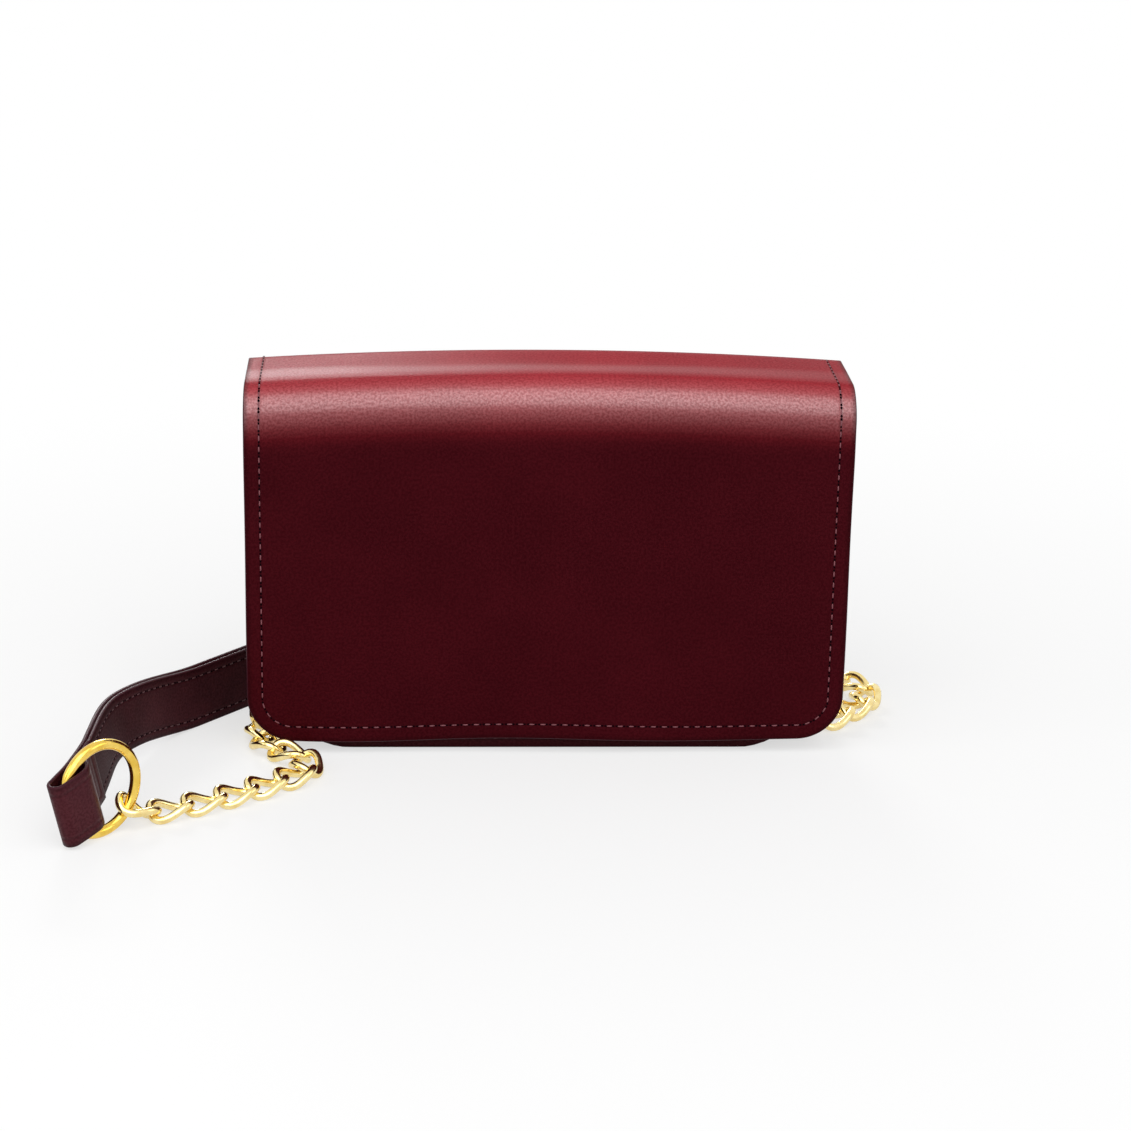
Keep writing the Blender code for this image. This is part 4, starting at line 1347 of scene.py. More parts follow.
@dataclass
class Gusset:
    """The strip of leather that makes the bag's sides and base, with its lining."""

    sizes: BagSizes
    palette: Palette
    bend: float = 0.0016
    crease: float = 0.0026

    def stations(self) -> list[tuple[Pair, Pair, float]]:
        """Return places on the U with their outward normals and the run to each."""
        s = self.sizes
        corner = s.body_corner - s.flange
        low = s.flange + corner
        side = s.web_half - corner
        tall = s.body_height - low
        count = ceil(tall / 0.004)
        spots = [((-s.web_half, s.body_height - tall * k / count), (-1.0, 0.0))
                 for k in range(count)]
        for centre, start in ((-side, 180), (side, 270)):
            for k in range(13):
                turn = radians(start + 90 * k / 12)
                normal = (cos(turn), sin(turn))
                spots.append(((centre + corner * normal[0], low + corner * normal[1]), normal))
            if start == 180:
                spots += [((x, s.flange), (0.0, -1.0)) for x in
                          (-side + 2 * side * k / 30 for k in range(1, 30))]
        spots += [((s.web_half, low + tall * k / count), (1.0, 0.0)) for k in range(1, count + 1)]
        run = 0.0
        result = []
        for k, (spot, normal) in enumerate(spots):
            if k:
                run += (Vector(spot) - Vector(spots[k - 1][0])).length
            result.append((spot, normal, run))
        return result

    def pull(self, y: float, z: float, nx: float) -> float:
        """Return how far the side is pulled in at a depth and height."""
        s = self.sizes
        share = max(0.0, min(1.0, (y - s.front_layer) / (s.back_layer - s.front_layer)))
        window = smoothstep(0.02, 0.055, z) * (1 - smoothstep(0.078, 0.102, z))
        return self.crease * sin(pi * share) ** 2 * window * abs(nx)

    def strip(self, name: str, section, thickness: float) -> Sheet:
        """Return a strip that follows the U.

        Args:
            name: The piece's name.
            section: (outward, depth) pairs of its outer face, from the back to the front.
            thickness: Its thickness.
        """
        rows, flat = [], []
        lengths = route_lengths([Vector(p) for p in section])
        for (x, z), (nx, nz), run in self.stations():
            rows.append([Vector((x + nx * (out - self.pull(y, z, nx)), y,
                                 z + nz * (out - self.pull(y, z, nx)))) for out, y in section])
            flat.append([(across, run) for across in lengths])
        return Sheet(name, rows, flat, thickness)

    def build(self) -> list[Piece]:
        """Make the gusset and its lining."""
        s = self.sizes
        t, r = s.gusset, self.bend
        back, front = s.back_layer - t, s.front_layer + t
        section = [(s.flange, back), (s.flange * 0.6, back)]
        section += arc((r, back - r), r, 90, 180, 4)
        web = (front + r) - (back - r)
        section += [(0.0, back - r + web * k / 10) for k in range(1, 10)]
        section += arc((r, front + r), r, 180, 270, 4)
        section += [(s.flange * 0.6, front), (s.flange, front)]
        leather = self.strip("gusset_leather", section, t)
        skin = -t - s.gap
        rear = s.back_layer - s.board - 2 * s.gap - s.lining
        fore = s.front_layer + s.board + 2 * s.gap + s.lining
        inside = [(skin, rear + (fore - rear) * k / 10) for k in range(11)]
        cloth = self.strip("gusset_cloth", inside, s.lining)
        self.cloth_size = (rear - fore, self.stations()[-1][2])
        return [leather.build(*self.palette.hide), cloth.build(*self.palette.lining)]


def cut_area(flat: Pair, corner: float) -> float:
    """Return the area of a rectangle of cloth whose two lower corners are round."""
    return flat[0] * flat[1] - 2 * (1 - pi / 4) * corner ** 2


@dataclass
class Body:
    """The front panel, the linings and the slip pocket."""

    sizes: BagSizes
    palette: Palette
    seamstress: Seamstress
    pocket_width: float = 0.150
    pocket_height: float = 0.078
    pocket_floor: float = 0.022
    pocket_corner: float = 0.010
    pocket_pitch: float = 0.0034

    def front(self) -> list[Piece]:
        """Make the front panel with its seam and hem."""
        s = self.sizes

        def relief(x: float, z: float) -> float:
            """Return how far the panel swells at a place."""
            bow = 1 - min(1.0, (x / s.body_half) ** 2)
            swell = smoothstep(0.05, 0.09, z) * (1 - smoothstep(0.112, 0.134, z))
            rough = noise.noise(Vector((x * 25, z * 25, 9)))
            return (0.0009 + 0.0003 * rough) * bow * swell

        panel = FlatPanel("front_leather", s.body_half, 0.0, s.body_height, s.body_corner,
                          s.front_face, True, s.panel, relief, 0.004)
        piece = panel.build(*self.palette.hide)
        seats = Seats()
        seats.along(*panel.seam(BACK_SEAM_INSET), self.seamstress.pitch)
        seats.along(*panel.hem(BACK_SEAM_INSET, 2), self.seamstress.pitch)
        return [piece] + self.seamstress.sew("front_stitches", seats, 7)

    def linings(self) -> list[Piece]:
        """Make the front and back lining cloths."""
        s = self.sizes
        inset = s.gusset + s.gap
        half = s.web_half - inset
        floor = s.flange + inset
        corner = s.body_corner - floor
        rim = s.body_height - 0.0015

        def ripple(x: float, z: float) -> float:
            """Return the cloth's small unevenness at a place."""
            return 0.00014 * noise.noise(Vector((x * 40, z * 40, 2)))

        front = s.front_layer + s.board + s.gap
        back = s.back_layer - s.board - s.gap
        made = []
        for name, depth, faces_front in (("front_cloth", front + s.lining, False),
                                         ("back_cloth", back - s.lining, True)):
            panel = FlatPanel(name, half, floor, rim, corner, depth, faces_front, s.lining, ripple)
            piece = panel.build(*self.palette.lining)
            made.append(piece)
        return made

    def pocket(self) -> list[Piece]:
        """Make the slip pocket on the back lining with its hem."""
        s = self.sizes
        top = self.pocket_floor + self.pocket_height

        def hem(x: float, z: float) -> float:
            """Return the pocket's thickened hem and its slight pull away from the lining."""
            fold = 0.0004 * smoothstep(top - 0.011, top - 0.0105, z)
            gape = 0.0008 * smoothstep(top - 0.03, top, z) * (1 - (2 * x / self.pocket_width) ** 2)
            return fold + gape

        depth = s.back_layer - s.board - 2 * s.gap - 2 * s.lining
        panel = FlatPanel("pocket_cloth", self.pocket_width / 2, self.pocket_floor, top,
                          self.pocket_corner, depth, True, s.lining, hem, 0.004)
        piece = panel.build(*self.palette.lining)
        seats = Seats()
        seats.along(*panel.seam(0.0025), self.pocket_pitch)
        seats.along(*panel.hem(0.010, 1), self.pocket_pitch)
        threads = self.seamstress.sew("pocket_stitches", seats, 8)
        flat = (self.pocket_width, self.pocket_height)
        cut_area(flat, self.pocket_corner)
        return [piece] + threads


@dataclass
class RingTab:
    """A D-ring with the leather tab round its bar and the rivet that holds it."""

    side: int
    name: str
    sizes: BagSizes
    palette: Palette
    wire: float = 0.0026
    inside: float = 0.014
    leg: float = 0.002
    corner: float = 0.0014
    drop: float = 0.029
    tilt: float = radians(15)
    tab: float = 0.0015
    tab_width: float = 0.0104
    tab_length: float = 0.024
    rivet_rise: float = 0.015
    rivet_cap: float = 0.0040

    @property
    def bar(self) -> Vector:
        """The middle of the D-ring's bar."""
        s = self.sizes
        across = s.web_half + s.gap + self.tab + s.gap + self.wire / 2
        return Vector((self.side * across, s.gusset_middle, s.body_height - self.drop))

    @property
    def lean(self) -> Vector:
        """The direction from the bow to the bar."""
        return Vector((-self.side * sin(self.tilt), 0, cos(self.tilt)))

    @property
    def half(self) -> float:
        """Half the width of the ring's middle line."""
        return (self.inside + self.wire) / 2

    @property
    def wrap(self) -> float:
        """The distance from the bar's middle to the outer face of the leather round it."""
        return self.wire / 2 + self.sizes.gap + self.tab

    @property
    def face(self) -> float:
        """How far out the outer face of the folded tab lies."""
        return abs(self.bar.x) - self.wrap + 2 * self.tab + self.sizes.gap

    def bow(self) -> Vector:
        """Return the lowest place of the ring's middle line."""
        return self.bar - self.lean * (self.corner + self.leg + self.half)

    def ring(self) -> Piece:
        """Make the D-ring."""
        half, r = self.half, 0.0021
        flat = [(0.0, 0.0)] + arc((half - r, -r), r, 90, 0, 6)
        flat += arc((0, -self.corner - self.leg), half, 0, -180, 28)
        flat += arc((r - half, -r), r, 180, 90, 6)
        bench = MeshBench()
        points = [self.bar + Vector((0, u, 0)) + self.lean * v for u, v in flat]
        wire(bench, points, self.wire / 2, 14)
        return bench.piece(f"dring_{self.name}", (self.palette.deep_gold,), 60.0)

    def strap(self) -> Piece:
        """Make the tab, folded round the ring's bar."""
        side, wrap, outer = self.side, self.wrap, self.face
        bar_x = abs(self.bar.x)
        inner = bar_x - wrap
        z = self.bar.z
        join = z + self.rivet_rise - self.rivet_cap
        path = [Vector((inner, z + self.tab_length - k * 0.002)) for k in range(5)]
        path += [Vector(p) for p in arc((bar_x, z), wrap, 180, 360, 20)]
        path += [Vector((bar_x + wrap - (bar_x + wrap - outer) * smoothstep(0, 1, k / 5),
                         z + (join - z) * k / 5)) for k in range(1, 6)]
        top = z + self.tab_length
        path += [Vector((outer, join + (top - join) * k / 5)) for k in range(1, 6)]
        low = self.sizes.gusset_middle - self.tab_width / 2
        across = [low + self.tab_width * k / 8 for k in range(9)]
        if side > 0:
            across = across[::-1]
        lengths = route_lengths(path)
        rows = [[Vector((side * p.x, y, p.y)) for y in across] for p in path]
        flat = [[(y, run) for y in across] for run in lengths]
        return Sheet(f"tab_{self.name}", rows, flat, self.tab * 0.98).build(*self.palette.hide)

    def rivet(self) -> Piece:
        """Make the rivet with its domed cap."""
        s = self.sizes
        start = s.web_half - s.gusset - s.lining - 2 * s.gap
        length = self.face - start
        cap, shank, dome = self.rivet_cap, 0.0015, 0.0012
        profile = [(0, -0.0009), (cap * 0.8, -0.0008), (cap, -0.0003), (cap, 0.0), (shank, 0.0),
                   (shank, length + 0.0002), (cap, length + 0.0002), (cap, length + 0.0005)]
        profile += [(cap * cos(a), length + 0.0005 + dome * sin(a))
                    for a in (pi / 2 * k / 6 for k in range(1, 6))]
        profile.append((0, length + 0.0005 + dome))
        origin = Vector((self.side * start, s.gusset_middle, self.bar.z + self.rivet_rise))
        return turned(f"rivet_{self.name}", profile, origin, Vector((self.side, 0, 0)),
                      self.palette.deep_gold)

    def build(self) -> list[Piece]:
        """Make the ring, tab and rivet."""
        return [self.ring(), self.strap(), self.rivet()]


@dataclass
class StrapEnd:
    """The round ring at one end of the strap and the leather loop that holds it.

    Local places are (along, toward): along runs from the loop to the chain, toward points
    to the strap's inner side.
    """

    share: Point
    turn: float
    lay: RingLay
    name: str
    lean: float = 0.0
    lean_from: float = 0.020
    lean_to: float = 0.115
    diameter: float = 0.0375
    wire: float = 0.0040
    leather: float = 0.0015
    clearance: float = 0.0004

    def __post_init__(self) -> None:
        """Work out the ring's place and directions."""
        self.centre = on_table(self.share)
        self.along = Vector((cos(self.turn), sin(self.turn)))
        self.toward = Vector((sin(self.turn), -cos(self.turn)))
        self.wrap_radius = self.wire / 2 + self.clearance + self.leather / 2
        self.radius = (self.diameter - self.wire) / 2

    def spot(self, along: float, toward: float) -> Vector:
        """Return the place on the table of a local pair."""
        return self.centre + self.along * along + self.toward * toward

    def leaned(self, place: Vector) -> Vector:
        """Turn a place of the strap in the ring's plane, less and less away from the ring."""
        flat = place.to_2d() - self.centre
        turn = self.lean * (1 - smoothstep(self.lean_from, self.lean_to, flat.length))
        along, rise = flat.dot(self.along), place.z - self.diameter / 2
        spot = self.spot(along * cos(turn) - rise * sin(turn), flat.dot(self.toward))
        return Vector((spot.x, spot.y, self.diameter / 2 + along * sin(turn) + rise * cos(turn)))

    def approach(self) -> Places:
        """Return the strap's route by the ring, ending where its loop starts."""
        r, w = self.radius, self.wrap_radius
        if self.lay is RingLay.FOLDED:
            route = (0.40 * r, -0.86 * r), (-0.40 * r, -0.40 * r), (-r, -w)
        else:
            route = (-2.5 * r, -w / 2), (-1.7 * r, -w / 2), (-r, -w)
        return [self.spot(*local) for local in route]

    def wrap(self) -> Places:
        """Return the loop round the ring's wire, from the outer side to the inner one."""
        r, w = self.radius, self.wrap_radius
        if self.lay is RingLay.FOLDED:
            loop = arc((-r, 0), w, 270, 90, 8)
            loop += [(-0.62 * r, w), (-0.34 * r, 0.85 * w), (-0.15 * r, 0)]
        else:
            loop = [(-r, -w)] + arc((-0.40 * r - w, 0), w, 270, 450, 8) + [(-r, w)]
        return [self.spot(*local) for local in loop]

    def wire_at(self, turn: float) -> Vector:
        """Return the centre of the ring's wire at an angle above the level."""
        spot = self.spot(self.radius * cos(turn), 0)
        return Vector((spot.x, spot.y, self.diameter / 2 + self.radius * sin(turn)))

    def ring(self, material: Material) -> Piece:
        """Make the round ring, upright, with its bottom on the table."""
        bench = MeshBench()
        wire(bench, [self.wire_at(turn) for turn in circle(96)], self.wire / 2, 20)
        return bench.piece(f"round_ring_{self.name}", (material,), 60.0)


def on_table(share: Point) -> Vector:
    """Turn an (across, along, depth) share of the flap's width into a place on the table."""
    across, along, depth = share
    y = SIZES.flap_front + (SIZES.back_face - SIZES.flap_front) * depth
    width = 2 * SIZES.flap_half
    return Vector((across * width, y + along * width))


STRAP_SHARES: tuple[Point, ...] = (
    (-0.7350, -0.2350, 0.0),
    (-0.7240, -0.1170, 0.0),
    (-0.6930, -0.0330, 0.0),
    (-0.6350, 0.0830, 0.0),
    (-0.5350, 0.2070, 0.0),
    (-0.4250, 0.1150, 1.0),
    (-0.3550, 0.2370, 1.0),
    (-0.2950, 0.3800, 1.0),
    (-0.1950, 0.4890, 1.0),
    (-0.0550, 0.5330, 1.0),
    (0.0750, 0.4890, 1.0),
    (0.1370, 0.3930, 1.0),
)
LEFT_CHAIN_SHARES: tuple[Point, ...] = (
    (-0.4900, 0.0850, 0.0),
    (-0.4780, 0.0250, 0.0),
    (-0.4500, -0.0250, 0.0),
    (-0.4080, -0.0560, 0.0),
    (-0.3960, -0.0960, 0.0),
    (-0.4350, -0.1420, 0.0),
    (-0.5000, -0.2000, 0.0),
    (-0.5700, -0.2500, 0.0),
    (-0.6420, -0.2900, 0.0),
)
RIGHT_CHAIN_SHARES: tuple[Point, ...] = (
    (0.4850, 0.1100, 0.0),
    (0.5250, 0.1500, 0.0),
    (0.5700, 0.2000, 0.0),
    (0.5800, 0.0550, 1.0),
    (0.5350, 0.1080, 1.0),
    (0.4700, 0.1290, 1.0),
    (0.4000, 0.1240, 1.0),
    (0.3300, 0.1330, 1.0),
)


@dataclass
class Strap:
    """The shoulder strap: two layers of leather sewn together, standing on their edge."""

    left: StrapEnd
    right: StrapEnd
    palette: Palette
    seamstress: Seamstress
    width: float = 0.025
    leather: float = 0.0015
    inner: float = 0.0013
    gap: float = 0.0003
    inset: float = 0.0006
    leaf_start: float = 0.013
    leaf_length: float = 0.013
    lining_start: float = 0.017
    ramp: float = 0.070
    seam: float = 0.0031
    step: float = 0.0026
    loop_step: float = 0.0009

    def lift(self, distance: float) -> float:
        """Return how high the lower edge stands at a distance from the strap's end."""
        high = self.left.diameter / 2 - self.width / 2
        return high * (1 - smoothstep(0.0, self.ramp, distance))

    def band(self, name: str, route: Places, lows: list[float], highs: list[float],
             side: float, thickness: float, outward: int) -> tuple[Sheet, Places, Places]:
        """Return one layer of the strap.

        Args:
            name: The piece's name.
            route: The layer's middle line on the table.
            lows: Its lower edge's height at each point.
            highs: Its upper edge's height at each point.
            side: Where its middle lies to the left of the route.
            thickness: Its thickness.
            outward: 1 where its good face is on the left of travel, -1 on the right.

        Returns:
            The sheet, the route of its good face, and that face's normals.
        """
        normals = side_normals(route)
        face = [p + n * (side + outward * thickness / 2) for p, n in zip(route, normals)]
        shares = [k / 12 for k in range(13)]
        if outward > 0:
            shares = shares[::-1]
        lengths = route_lengths(route)
        rows, flat = [], []
        for p, low, high, run in zip(face, lows, highs, lengths):
            rows.append([self.left.leaned(Vector((p.x, p.y, low + (high - low) * t)))
                         for t in shares])
            flat.append([((high - low) * t, run) for t in shares])
        outs = [(n * outward).to_3d() for n in normals]
        return Sheet(name, rows, flat, thickness, 0.7), face, outs

    def sew(self, name: str, face: Places, outs: Places, lows: list[float], highs: list[float],
            seed: int) -> list[Piece]:
        """Sew both seams of one layer's good face."""
        seats = Seats()
        for heights in ([low + self.seam for low in lows], [high - self.seam for high in highs]):
            line = [self.left.leaned(Vector((p.x, p.y, z))) for p, z in zip(face, heights)]
            seats.along(line, outs, self.seamstress.pitch)
        return self.seamstress.sew(name, seats, seed, self.palette.strap_thread)

    def build(self) -> dict[str, list[Piece]]:
        """Make both layers and their seams.

        Returns:
            The outer layer's pieces and the inner layer's pieces.
        """
        middle = [on_table(share) for share in STRAP_SHARES]
        points = self.left.approach()[::-1] + middle + self.right.approach()
        line = smooth_route(points, self.step)
        lengths = route_lengths(line)
        whole = lengths[-1]
        sides = side_normals(line)
        leaf = self.leather + self.inner + 2 * self.gap
        inner_line = [p - n * leaf for p, n in zip(line, sides)]
        low, high = self.leaf_start, self.leaf_start + self.leaf_length
        from_left = [p for p, d in zip(inner_line, lengths) if low < d < high]
        from_right = [p for p, d in zip(inner_line, lengths) if low < whole - d < high]
        left_loop = smooth_route(from_left[::-3] + self.left.wrap()[::-1], self.loop_step)
        right_loop = smooth_route(self.right.wrap() + from_right[::-3], self.loop_step)
        route = left_loop + line[1:-1] + right_loop
        distances = [0.0] * len(left_loop) + [min(d, whole - d) for d in lengths[1:-1]]
        distances += [0.0] * len(right_loop)
        lows = [self.lift(d) for d in distances]
        highs = [value + self.width for value in lows]
        outer, face, outs = self.band("strap_leather", route, lows, highs, 0.0, self.leather, 1)
        palette = self.palette
        made = {"outer": [outer.build(palette.strap, palette.strap_inside, palette.edge)]}
        sewn = [k for k, d in enumerate(distances) if d > self.lining_start]
        seam = slice(sewn[0], sewn[-1] + 1)
        made["outer"] += self.sew("strap_stitches", face[seam], outs[seam], lows[seam],
                                  highs[seam], 9)

        backing = [(p, d) for p, d in zip(line, lengths) if min(d, whole - d) > self.lining_start]
        lows = [self.lift(min(d, whole - d)) + self.inset for p, d in backing]
        highs = [value + self.width - 2 * self.inset for value in lows]
        side = -(self.leather + self.inner) / 2 - self.gap / 2
        inner, face, outs = self.band("strap_inner_leather", [p for p, d in backing], lows, highs,
                                      side, self.inner + self.gap * 0.9, -1)
        made["inner"] = [inner.build(palette.strap_inside, palette.strap_inside, palette.edge)]
        made["inner"] += self.sew("strap_inner_stitches", face, outs, lows, highs, 10)
        return made


@dataclass
class Chain:
    """A twisted curb chain from a D-ring to the ring of the strap."""

    side: int
    name: str
    tab: RingTab
    end: StrapEnd
    shares: tuple[Point, ...]
    length: float = 0.0196
    width: float = 0.0134
    wire: float = 0.0031
    twist: float = radians(38)
    seat: float = 0.0005
    hook_turn: float = radians(38)
    hook_clearance: float = 0.0009
    hang_turn: float = radians(56)
    turnover: Pair = (0.20, 0.45)
    hang: tuple[float, float, float] = (0.72, 0.42, 0.16)

    def __post_init__(self) -> None:
        """Work out the link's own sizes."""
        self.half_length = (self.length - self.wire) / 2
        self.half_width = (self.width - self.wire) / 2
        self.rise = self.half_width * sin(self.twist) / cos(self.twist) / 2
        self.hook = (self.wire - self.seat) / 2
        self.pitch = 2 * (self.half_length - self.hook)

    def normal(self, share: float) -> Vector:
        """Return the links' flat direction at a share of the chain's length."""
        hanging = Vector((sin(self.hang_turn), -cos(self.hang_turn), 0))
        t = smoothstep(self.turnover[0], self.turnover[1], share)
        return hanging.lerp(Vector((0, 0, 1)), t).normalized()

    def rest(self, normal: Vector) -> float:
        """Return how high a link's middle lies over the table for its flat direction."""
        lean = sqrt(max(0.0, 1 - normal.z ** 2))
        return self.wire / 2 + self.half_width * lean + self.rise * abs(normal.z)

    def route(self, bulge: float) -> Places:
        """Return the chain's line: hanging, along the table and up to the ring.

        Args:
            bulge: How far the line on the table is pushed from straight, as a share.
        """
        bow = self.tab.bow()
        seat = (self.tab.wire + self.wire) / 2 + SIZES.gap - self.hook
        reach = bow.x + self.side * self.rise
        high = [bow + Vector((0, 0, seat))]
        high += [Vector((reach, bow.y, bow.z * share)) for share in self.hang]
        floor = [on_table(share) for share in self.shares]
        hook = self.end.wire_at(-self.hook_turn)
        pull = (floor[-1].to_3d() + Vector((0, 0, self.rise + self.wire / 2)) - hook).normalized()
        hook += pull * (self.half_length - (self.wire + self.end.wire) / 2 - self.hook_clearance)
        low = [hook + pull * self.pitch / 2, hook - pull * self.pitch / 2]
        first, last = floor[0], floor[-1]
        line = (last - first).normalized()
        pushed = [p + (p - first - line * (p - first).dot(line)) * bulge for p in floor]
        route = smooth_route(high + [p.to_3d() for p in pushed] + low, self.wire / 4)
        for k, p in enumerate(route):
            p.z = max(p.z, self.rest(self.normal(k / len(route))))
        return route

    def fitted(self, bulge: float) -> float:
        """Return how many links fit on a route, with the part of the next one."""
        route = self.route(bulge)
        joints = walk(route, self.pitch)
        return len(joints) - 1 + (route[-1] - joints[-1]).length / self.pitch

    def seats(self) -> Seats:
        """Return the links' places, a whole number of them."""
        slack, tight = 0.25, -0.25
        count = round(self.fitted(0.0))
        for _ in range(30):
            bulge = (slack + tight) / 2
            if self.fitted(bulge) > count:
                slack = bulge
            else:
                tight = bulge
        joints = walk(self.route(slack), self.pitch)
        seats = Seats()
        for k, (a, b) in enumerate(zip(joints, joints[1:])):
            seats.add((a + b) / 2, b - a, self.normal(k / count))
        return seats

    def shape(self) -> Piece:
        """Return one smooth link, twisted so that its neighbours lie flat."""
        bench = MeshBench()
        points = []
        for k in range(32):
            t = 2 * pi * (k + 0.5) / 32
            x = abs(cos(t)) ** 0.8 * (1 if cos(t) > 0 else -1)
            y = sin(t)
            points.append(Vector((x * (self.half_length - self.seat / 2), y * self.half_width,
                                  -sin(2 * atan2(y, x)) * self.rise)))
        wire(bench, points, self.wire / 2, 10)
        return bench.piece("link_shape", (), 60.0)

    def build(self, scatter: Scatter, material: Material) -> Piece:
        """Make the chain.

        Args:
            scatter: The tree that sets links on their seats.
            material: The links' finish.

        Returns:
            The chain.
        """
        shape = self.shape()
        piece = scatter.piece(f"curb_chain_{self.name}", self.seats(), shape, material)
        bpy.data.objects.remove(shape)
        return piece


@dataclass(frozen=True)
class Softbox:
    """A soft lamp that looks at a point."""

    name: str
    azimuth: float
    elevation: float
    distance: float
    size: Pair
    radiance: float
    aim: Point = (0.0, 0.0, 0.08)

    def place(self) -> Piece:
        """Put the lamp in the scene.

        Returns:
            The lamp.
        """
        lamp = bpy.data.lights.new(self.name, "AREA")
        lamp.shape = "RECTANGLE"
        lamp.size, lamp.size_y = self.size
        lamp.energy = self.radiance * pi * self.size[0] * self.size[1]
        obj = linked(self.name, lamp)
        around, up = radians(self.azimuth), radians(self.elevation)
        away = Vector((sin(around) * cos(up), -cos(around) * cos(up), sin(up)))
        obj.location = Vector(self.aim) + away * self.distance
        obj.rotation_euler = away.to_track_quat("Z", "Y").to_euler()
        return obj


@dataclass
class Studio:
    """The white table, the soft lamps, the surroundings and the camera."""

    target: Point = (0.0, 0.0121, 0.081)
    yaw: float = 2.84
    pitch: float = 18.0
    roll: float = 1.0
    distance: float = 1.250
    lens: float = 102.75
    shift: Pair = (0.0168, -0.0227)
    shadow_reach: Pair = (0.12, 0.55)
    near_veil: float = 0.60

    def camera(self) -> None:
        """Set the camera where the photograph was taken from."""
        a, e, q = radians(self.yaw), radians(self.pitch), radians(self.roll)
        ahead = Vector((sin(a) * cos(e), cos(a) * cos(e), -sin(e)))
        right = ahead.cross(Vector((0, 0, 1))).normalized()
        up = right.cross(ahead)
        right, up = right * cos(q) + up * sin(q), up * cos(q) - right * sin(q)
        data = bpy.data.cameras.new("camera")
        data.lens, data.sensor_width = self.lens, 36.0
        data.shift_x, data.shift_y = self.shift
        data.clip_start, data.clip_end = 0.05, 20.0
        obj = linked("camera", data)
        turn = Matrix((right, up, -ahead)).transposed().to_4x4()
        obj.matrix_world = Matrix.Translation(Vector(self.target) - ahead * self.distance) @ turn
        bpy.context.scene.camera = obj

    def floor(self) -> Piece:
        """Lay the white table."""
        bench = MeshBench()
        corners = [bench.corner(Vector((x, y, 0.0)), (x, y)) for x, y in
                   ((-4.0, -3.0), (4.0, -3.0), (4.0, 7.0), (-4.0, 7.0))]
        bench.face(*corners)
        paint = NodeBench("white_table")
        paint.finish(Base_Color=(0.90, 0.90, 0.90), Roughness=0.9, Specular_IOR_Level=0.1)
        away = paint.add("ShaderNodeVectorMath", {0: paint.object_place()}, operation="LENGTH")
        far = paint.band(away.outputs["Value"], *self.shadow_reach, self.near_veil, 1.0)
        white = paint.add("ShaderNodeEmission", {"Color": (1, 1, 1, 1), "Strength": 1.0})
        paint.veil(self.looked_at(paint), far, white)
        piece = bench.piece("table", (paint.material,))
        return piece

    def surroundings(self) -> None:
        """Light the room: bright low down, dimmer overhead, white where it is looked at."""
        world = bpy.data.worlds.new("room")
        world.use_nodes = True
        room = NodeBench.on(world.node_tree)
        split = room.add("ShaderNodeSeparateXYZ",
                         {0: room.add("ShaderNodeTexCoord").outputs["Generated"]})
        shader = world.node_tree.nodes["Background"]
        shader.inputs["Color"].default_value = (1, 1, 1, 1)
        room.feed(shader.inputs["Strength"], room.band(split.outputs["Z"], 0.0, 0.8, 0.75, 0.35))
        seen = room.add("ShaderNodeBackground", {"Color": (1, 1, 1, 1), "Strength": 1.0})
        mix = room.add("ShaderNodeMixShader", {0: self.looked_at(room), 1: shader.outputs[0],
                                               2: seen.outputs[0]})
        room.feed(world.node_tree.nodes["World Output"].inputs["Surface"], mix.outputs[0])
        bpy.context.scene.world = world

    @staticmethod
    def looked_at(bench: NodeBench) -> Socket:
        """Return 1 for rays from the camera and those that metal mirrors, and 0 for light."""
        path = bench.add("ShaderNodeLightPath").outputs
        mirrored = bench.math("MAXIMUM", path["Is Glossy Ray"], path["Is Transmission Ray"])
        return bench.math("MAXIMUM", path["Is Camera Ray"], mirrored)

    def build(self) -> None:
        """Set up the whole studio."""
        self.camera()
        self.floor()
        self.surroundings()
        for lamp in (
            Softbox("window", 0, 48, 1.25, (1.4, 1.35), 2.2),
            Softbox("left_side", -70, 30, 1.4, (0.5, 0.5), 2.0),
            Softbox("right_side", 75, 30, 1.4, (0.5, 0.5), 1.6),
            Softbox("back_left", 187, 20, 1.5, (0.42, 0.16), 26.0, (-0.08, 0.0, 0.145)),
        ):
            lamp.place()
        bpy.context.scene.view_settings.view_transform = "Standard"


def settle(pieces: Sequence[Piece], slot: str, *nodes: str,
           body: BodyName = BodyName.BAG, folds: bool = False) -> None:
    """Make pieces move with a body, or bake their place, and hide the CAD nodes that they replace.

    Args:
        pieces: The pieces.
        slot: Not used.
        *nodes: The nodes that are replaced.
        body: The body that they ride on.
        folds: Whether their place is baked into the mesh instead of their riding on a body.
    """
    for piece in pieces:
        if folds:
            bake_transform(piece)
        else:
            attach(piece, body.value)
    if nodes:
        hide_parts(*nodes)


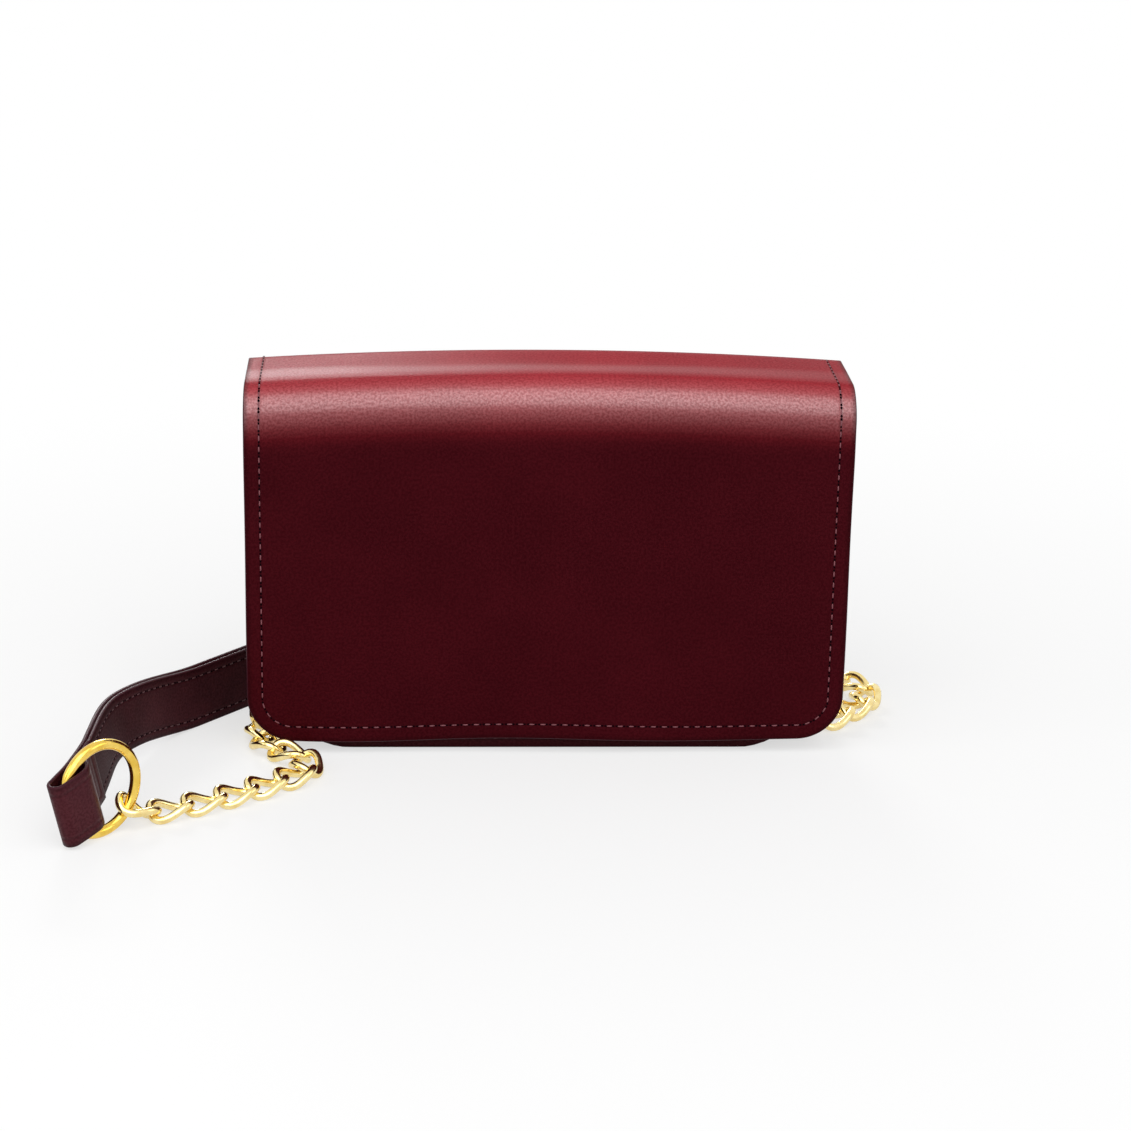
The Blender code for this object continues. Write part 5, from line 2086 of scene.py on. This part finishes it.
def finish_cad(palette: Palette) -> None:
    """Give the CAD nodes that stay their finishes."""
    for name, material, slot in (
        ("front_board", palette.board, "board"),
        ("back_board", palette.board, "board"),
        ("snap_stud", palette.deep_gold, "deep_gold"),
        ("snap_socket", palette.deep_gold, "deep_gold"),
        ("snap_washer", palette.deep_gold, "deep_gold"),
    ):
        obj = bpy.data.objects[name]
        for place in obj.material_slots:
            place.material = material


def main() -> None:
    """Build the bag, its hardware, its strap and the studio."""
    palette = Palette()
    scatter = Scatter()
    seamstress = Seamstress(scatter, palette.thread, palette.hole_shade)
    form = ShellForm(SIZES)

    shell = Shell(form, palette, seamstress)
    settle(shell.build() + shell.sew(), "flap_leather", "flap", "back_panel", folds=True)
    settle(FlapInside(form, palette, seamstress).build(), "lining", "flap_lining", folds=True)

    body = Body(SIZES, palette, seamstress)
    settle(body.front(), "leather", "front_panel")
    gusset = Gusset(SIZES, palette)
    strip, cloth = gusset.build()
    settle([strip], "leather", "gusset")
    settle([cloth], "lining", "gusset_lining")
    front_cloth, back_cloth = body.linings()
    settle([front_cloth], "lining", "front_lining")
    settle([back_cloth], "lining", "back_lining")
    settle(body.pocket(), "lining", "slip_pocket")

    left = StrapEnd((-0.7170, -0.3500, 0.0), radians(45), RingLay.FOLDED, "left", radians(15))
    right = StrapEnd((0.2450, 0.2065, 1.0), radians(-55), RingLay.STRAIGHT, "right")
    for end, ring_body in ((left, BodyName.LEFT_RING), (right, BodyName.RIGHT_RING)):
        settle([end.ring(palette.deep_gold)], "deep_gold", f"o_ring_{end.name}", body=ring_body)
    layers = Strap(left, right, palette, seamstress).build()
    settle(layers["outer"], "strap_leather", "strap_outer")
    settle(layers["inner"], "strap_inside", "strap_lining")

    for side, end, shares in ((-1, left, LEFT_CHAIN_SHARES), (1, right, RIGHT_CHAIN_SHARES)):
        tab = RingTab(side, end.name, SIZES, palette)
        ring, strip, rivet = tab.build()
        settle([ring], "deep_gold", f"d_ring_{end.name}")
        settle([strip], "leather", f"ring_tab_{end.name}")
        settle([rivet], "deep_gold", f"tab_rivet_{end.name}")
        chain = Chain(side, end.name, tab, end, shares).build(scatter, palette.pale_gold)
        settle([chain], "pale_gold", f"chain_{end.name}")

    seamstress.tidy()
    finish_cad(palette)
    Studio().build()


if __name__ == "__main__":
    main()
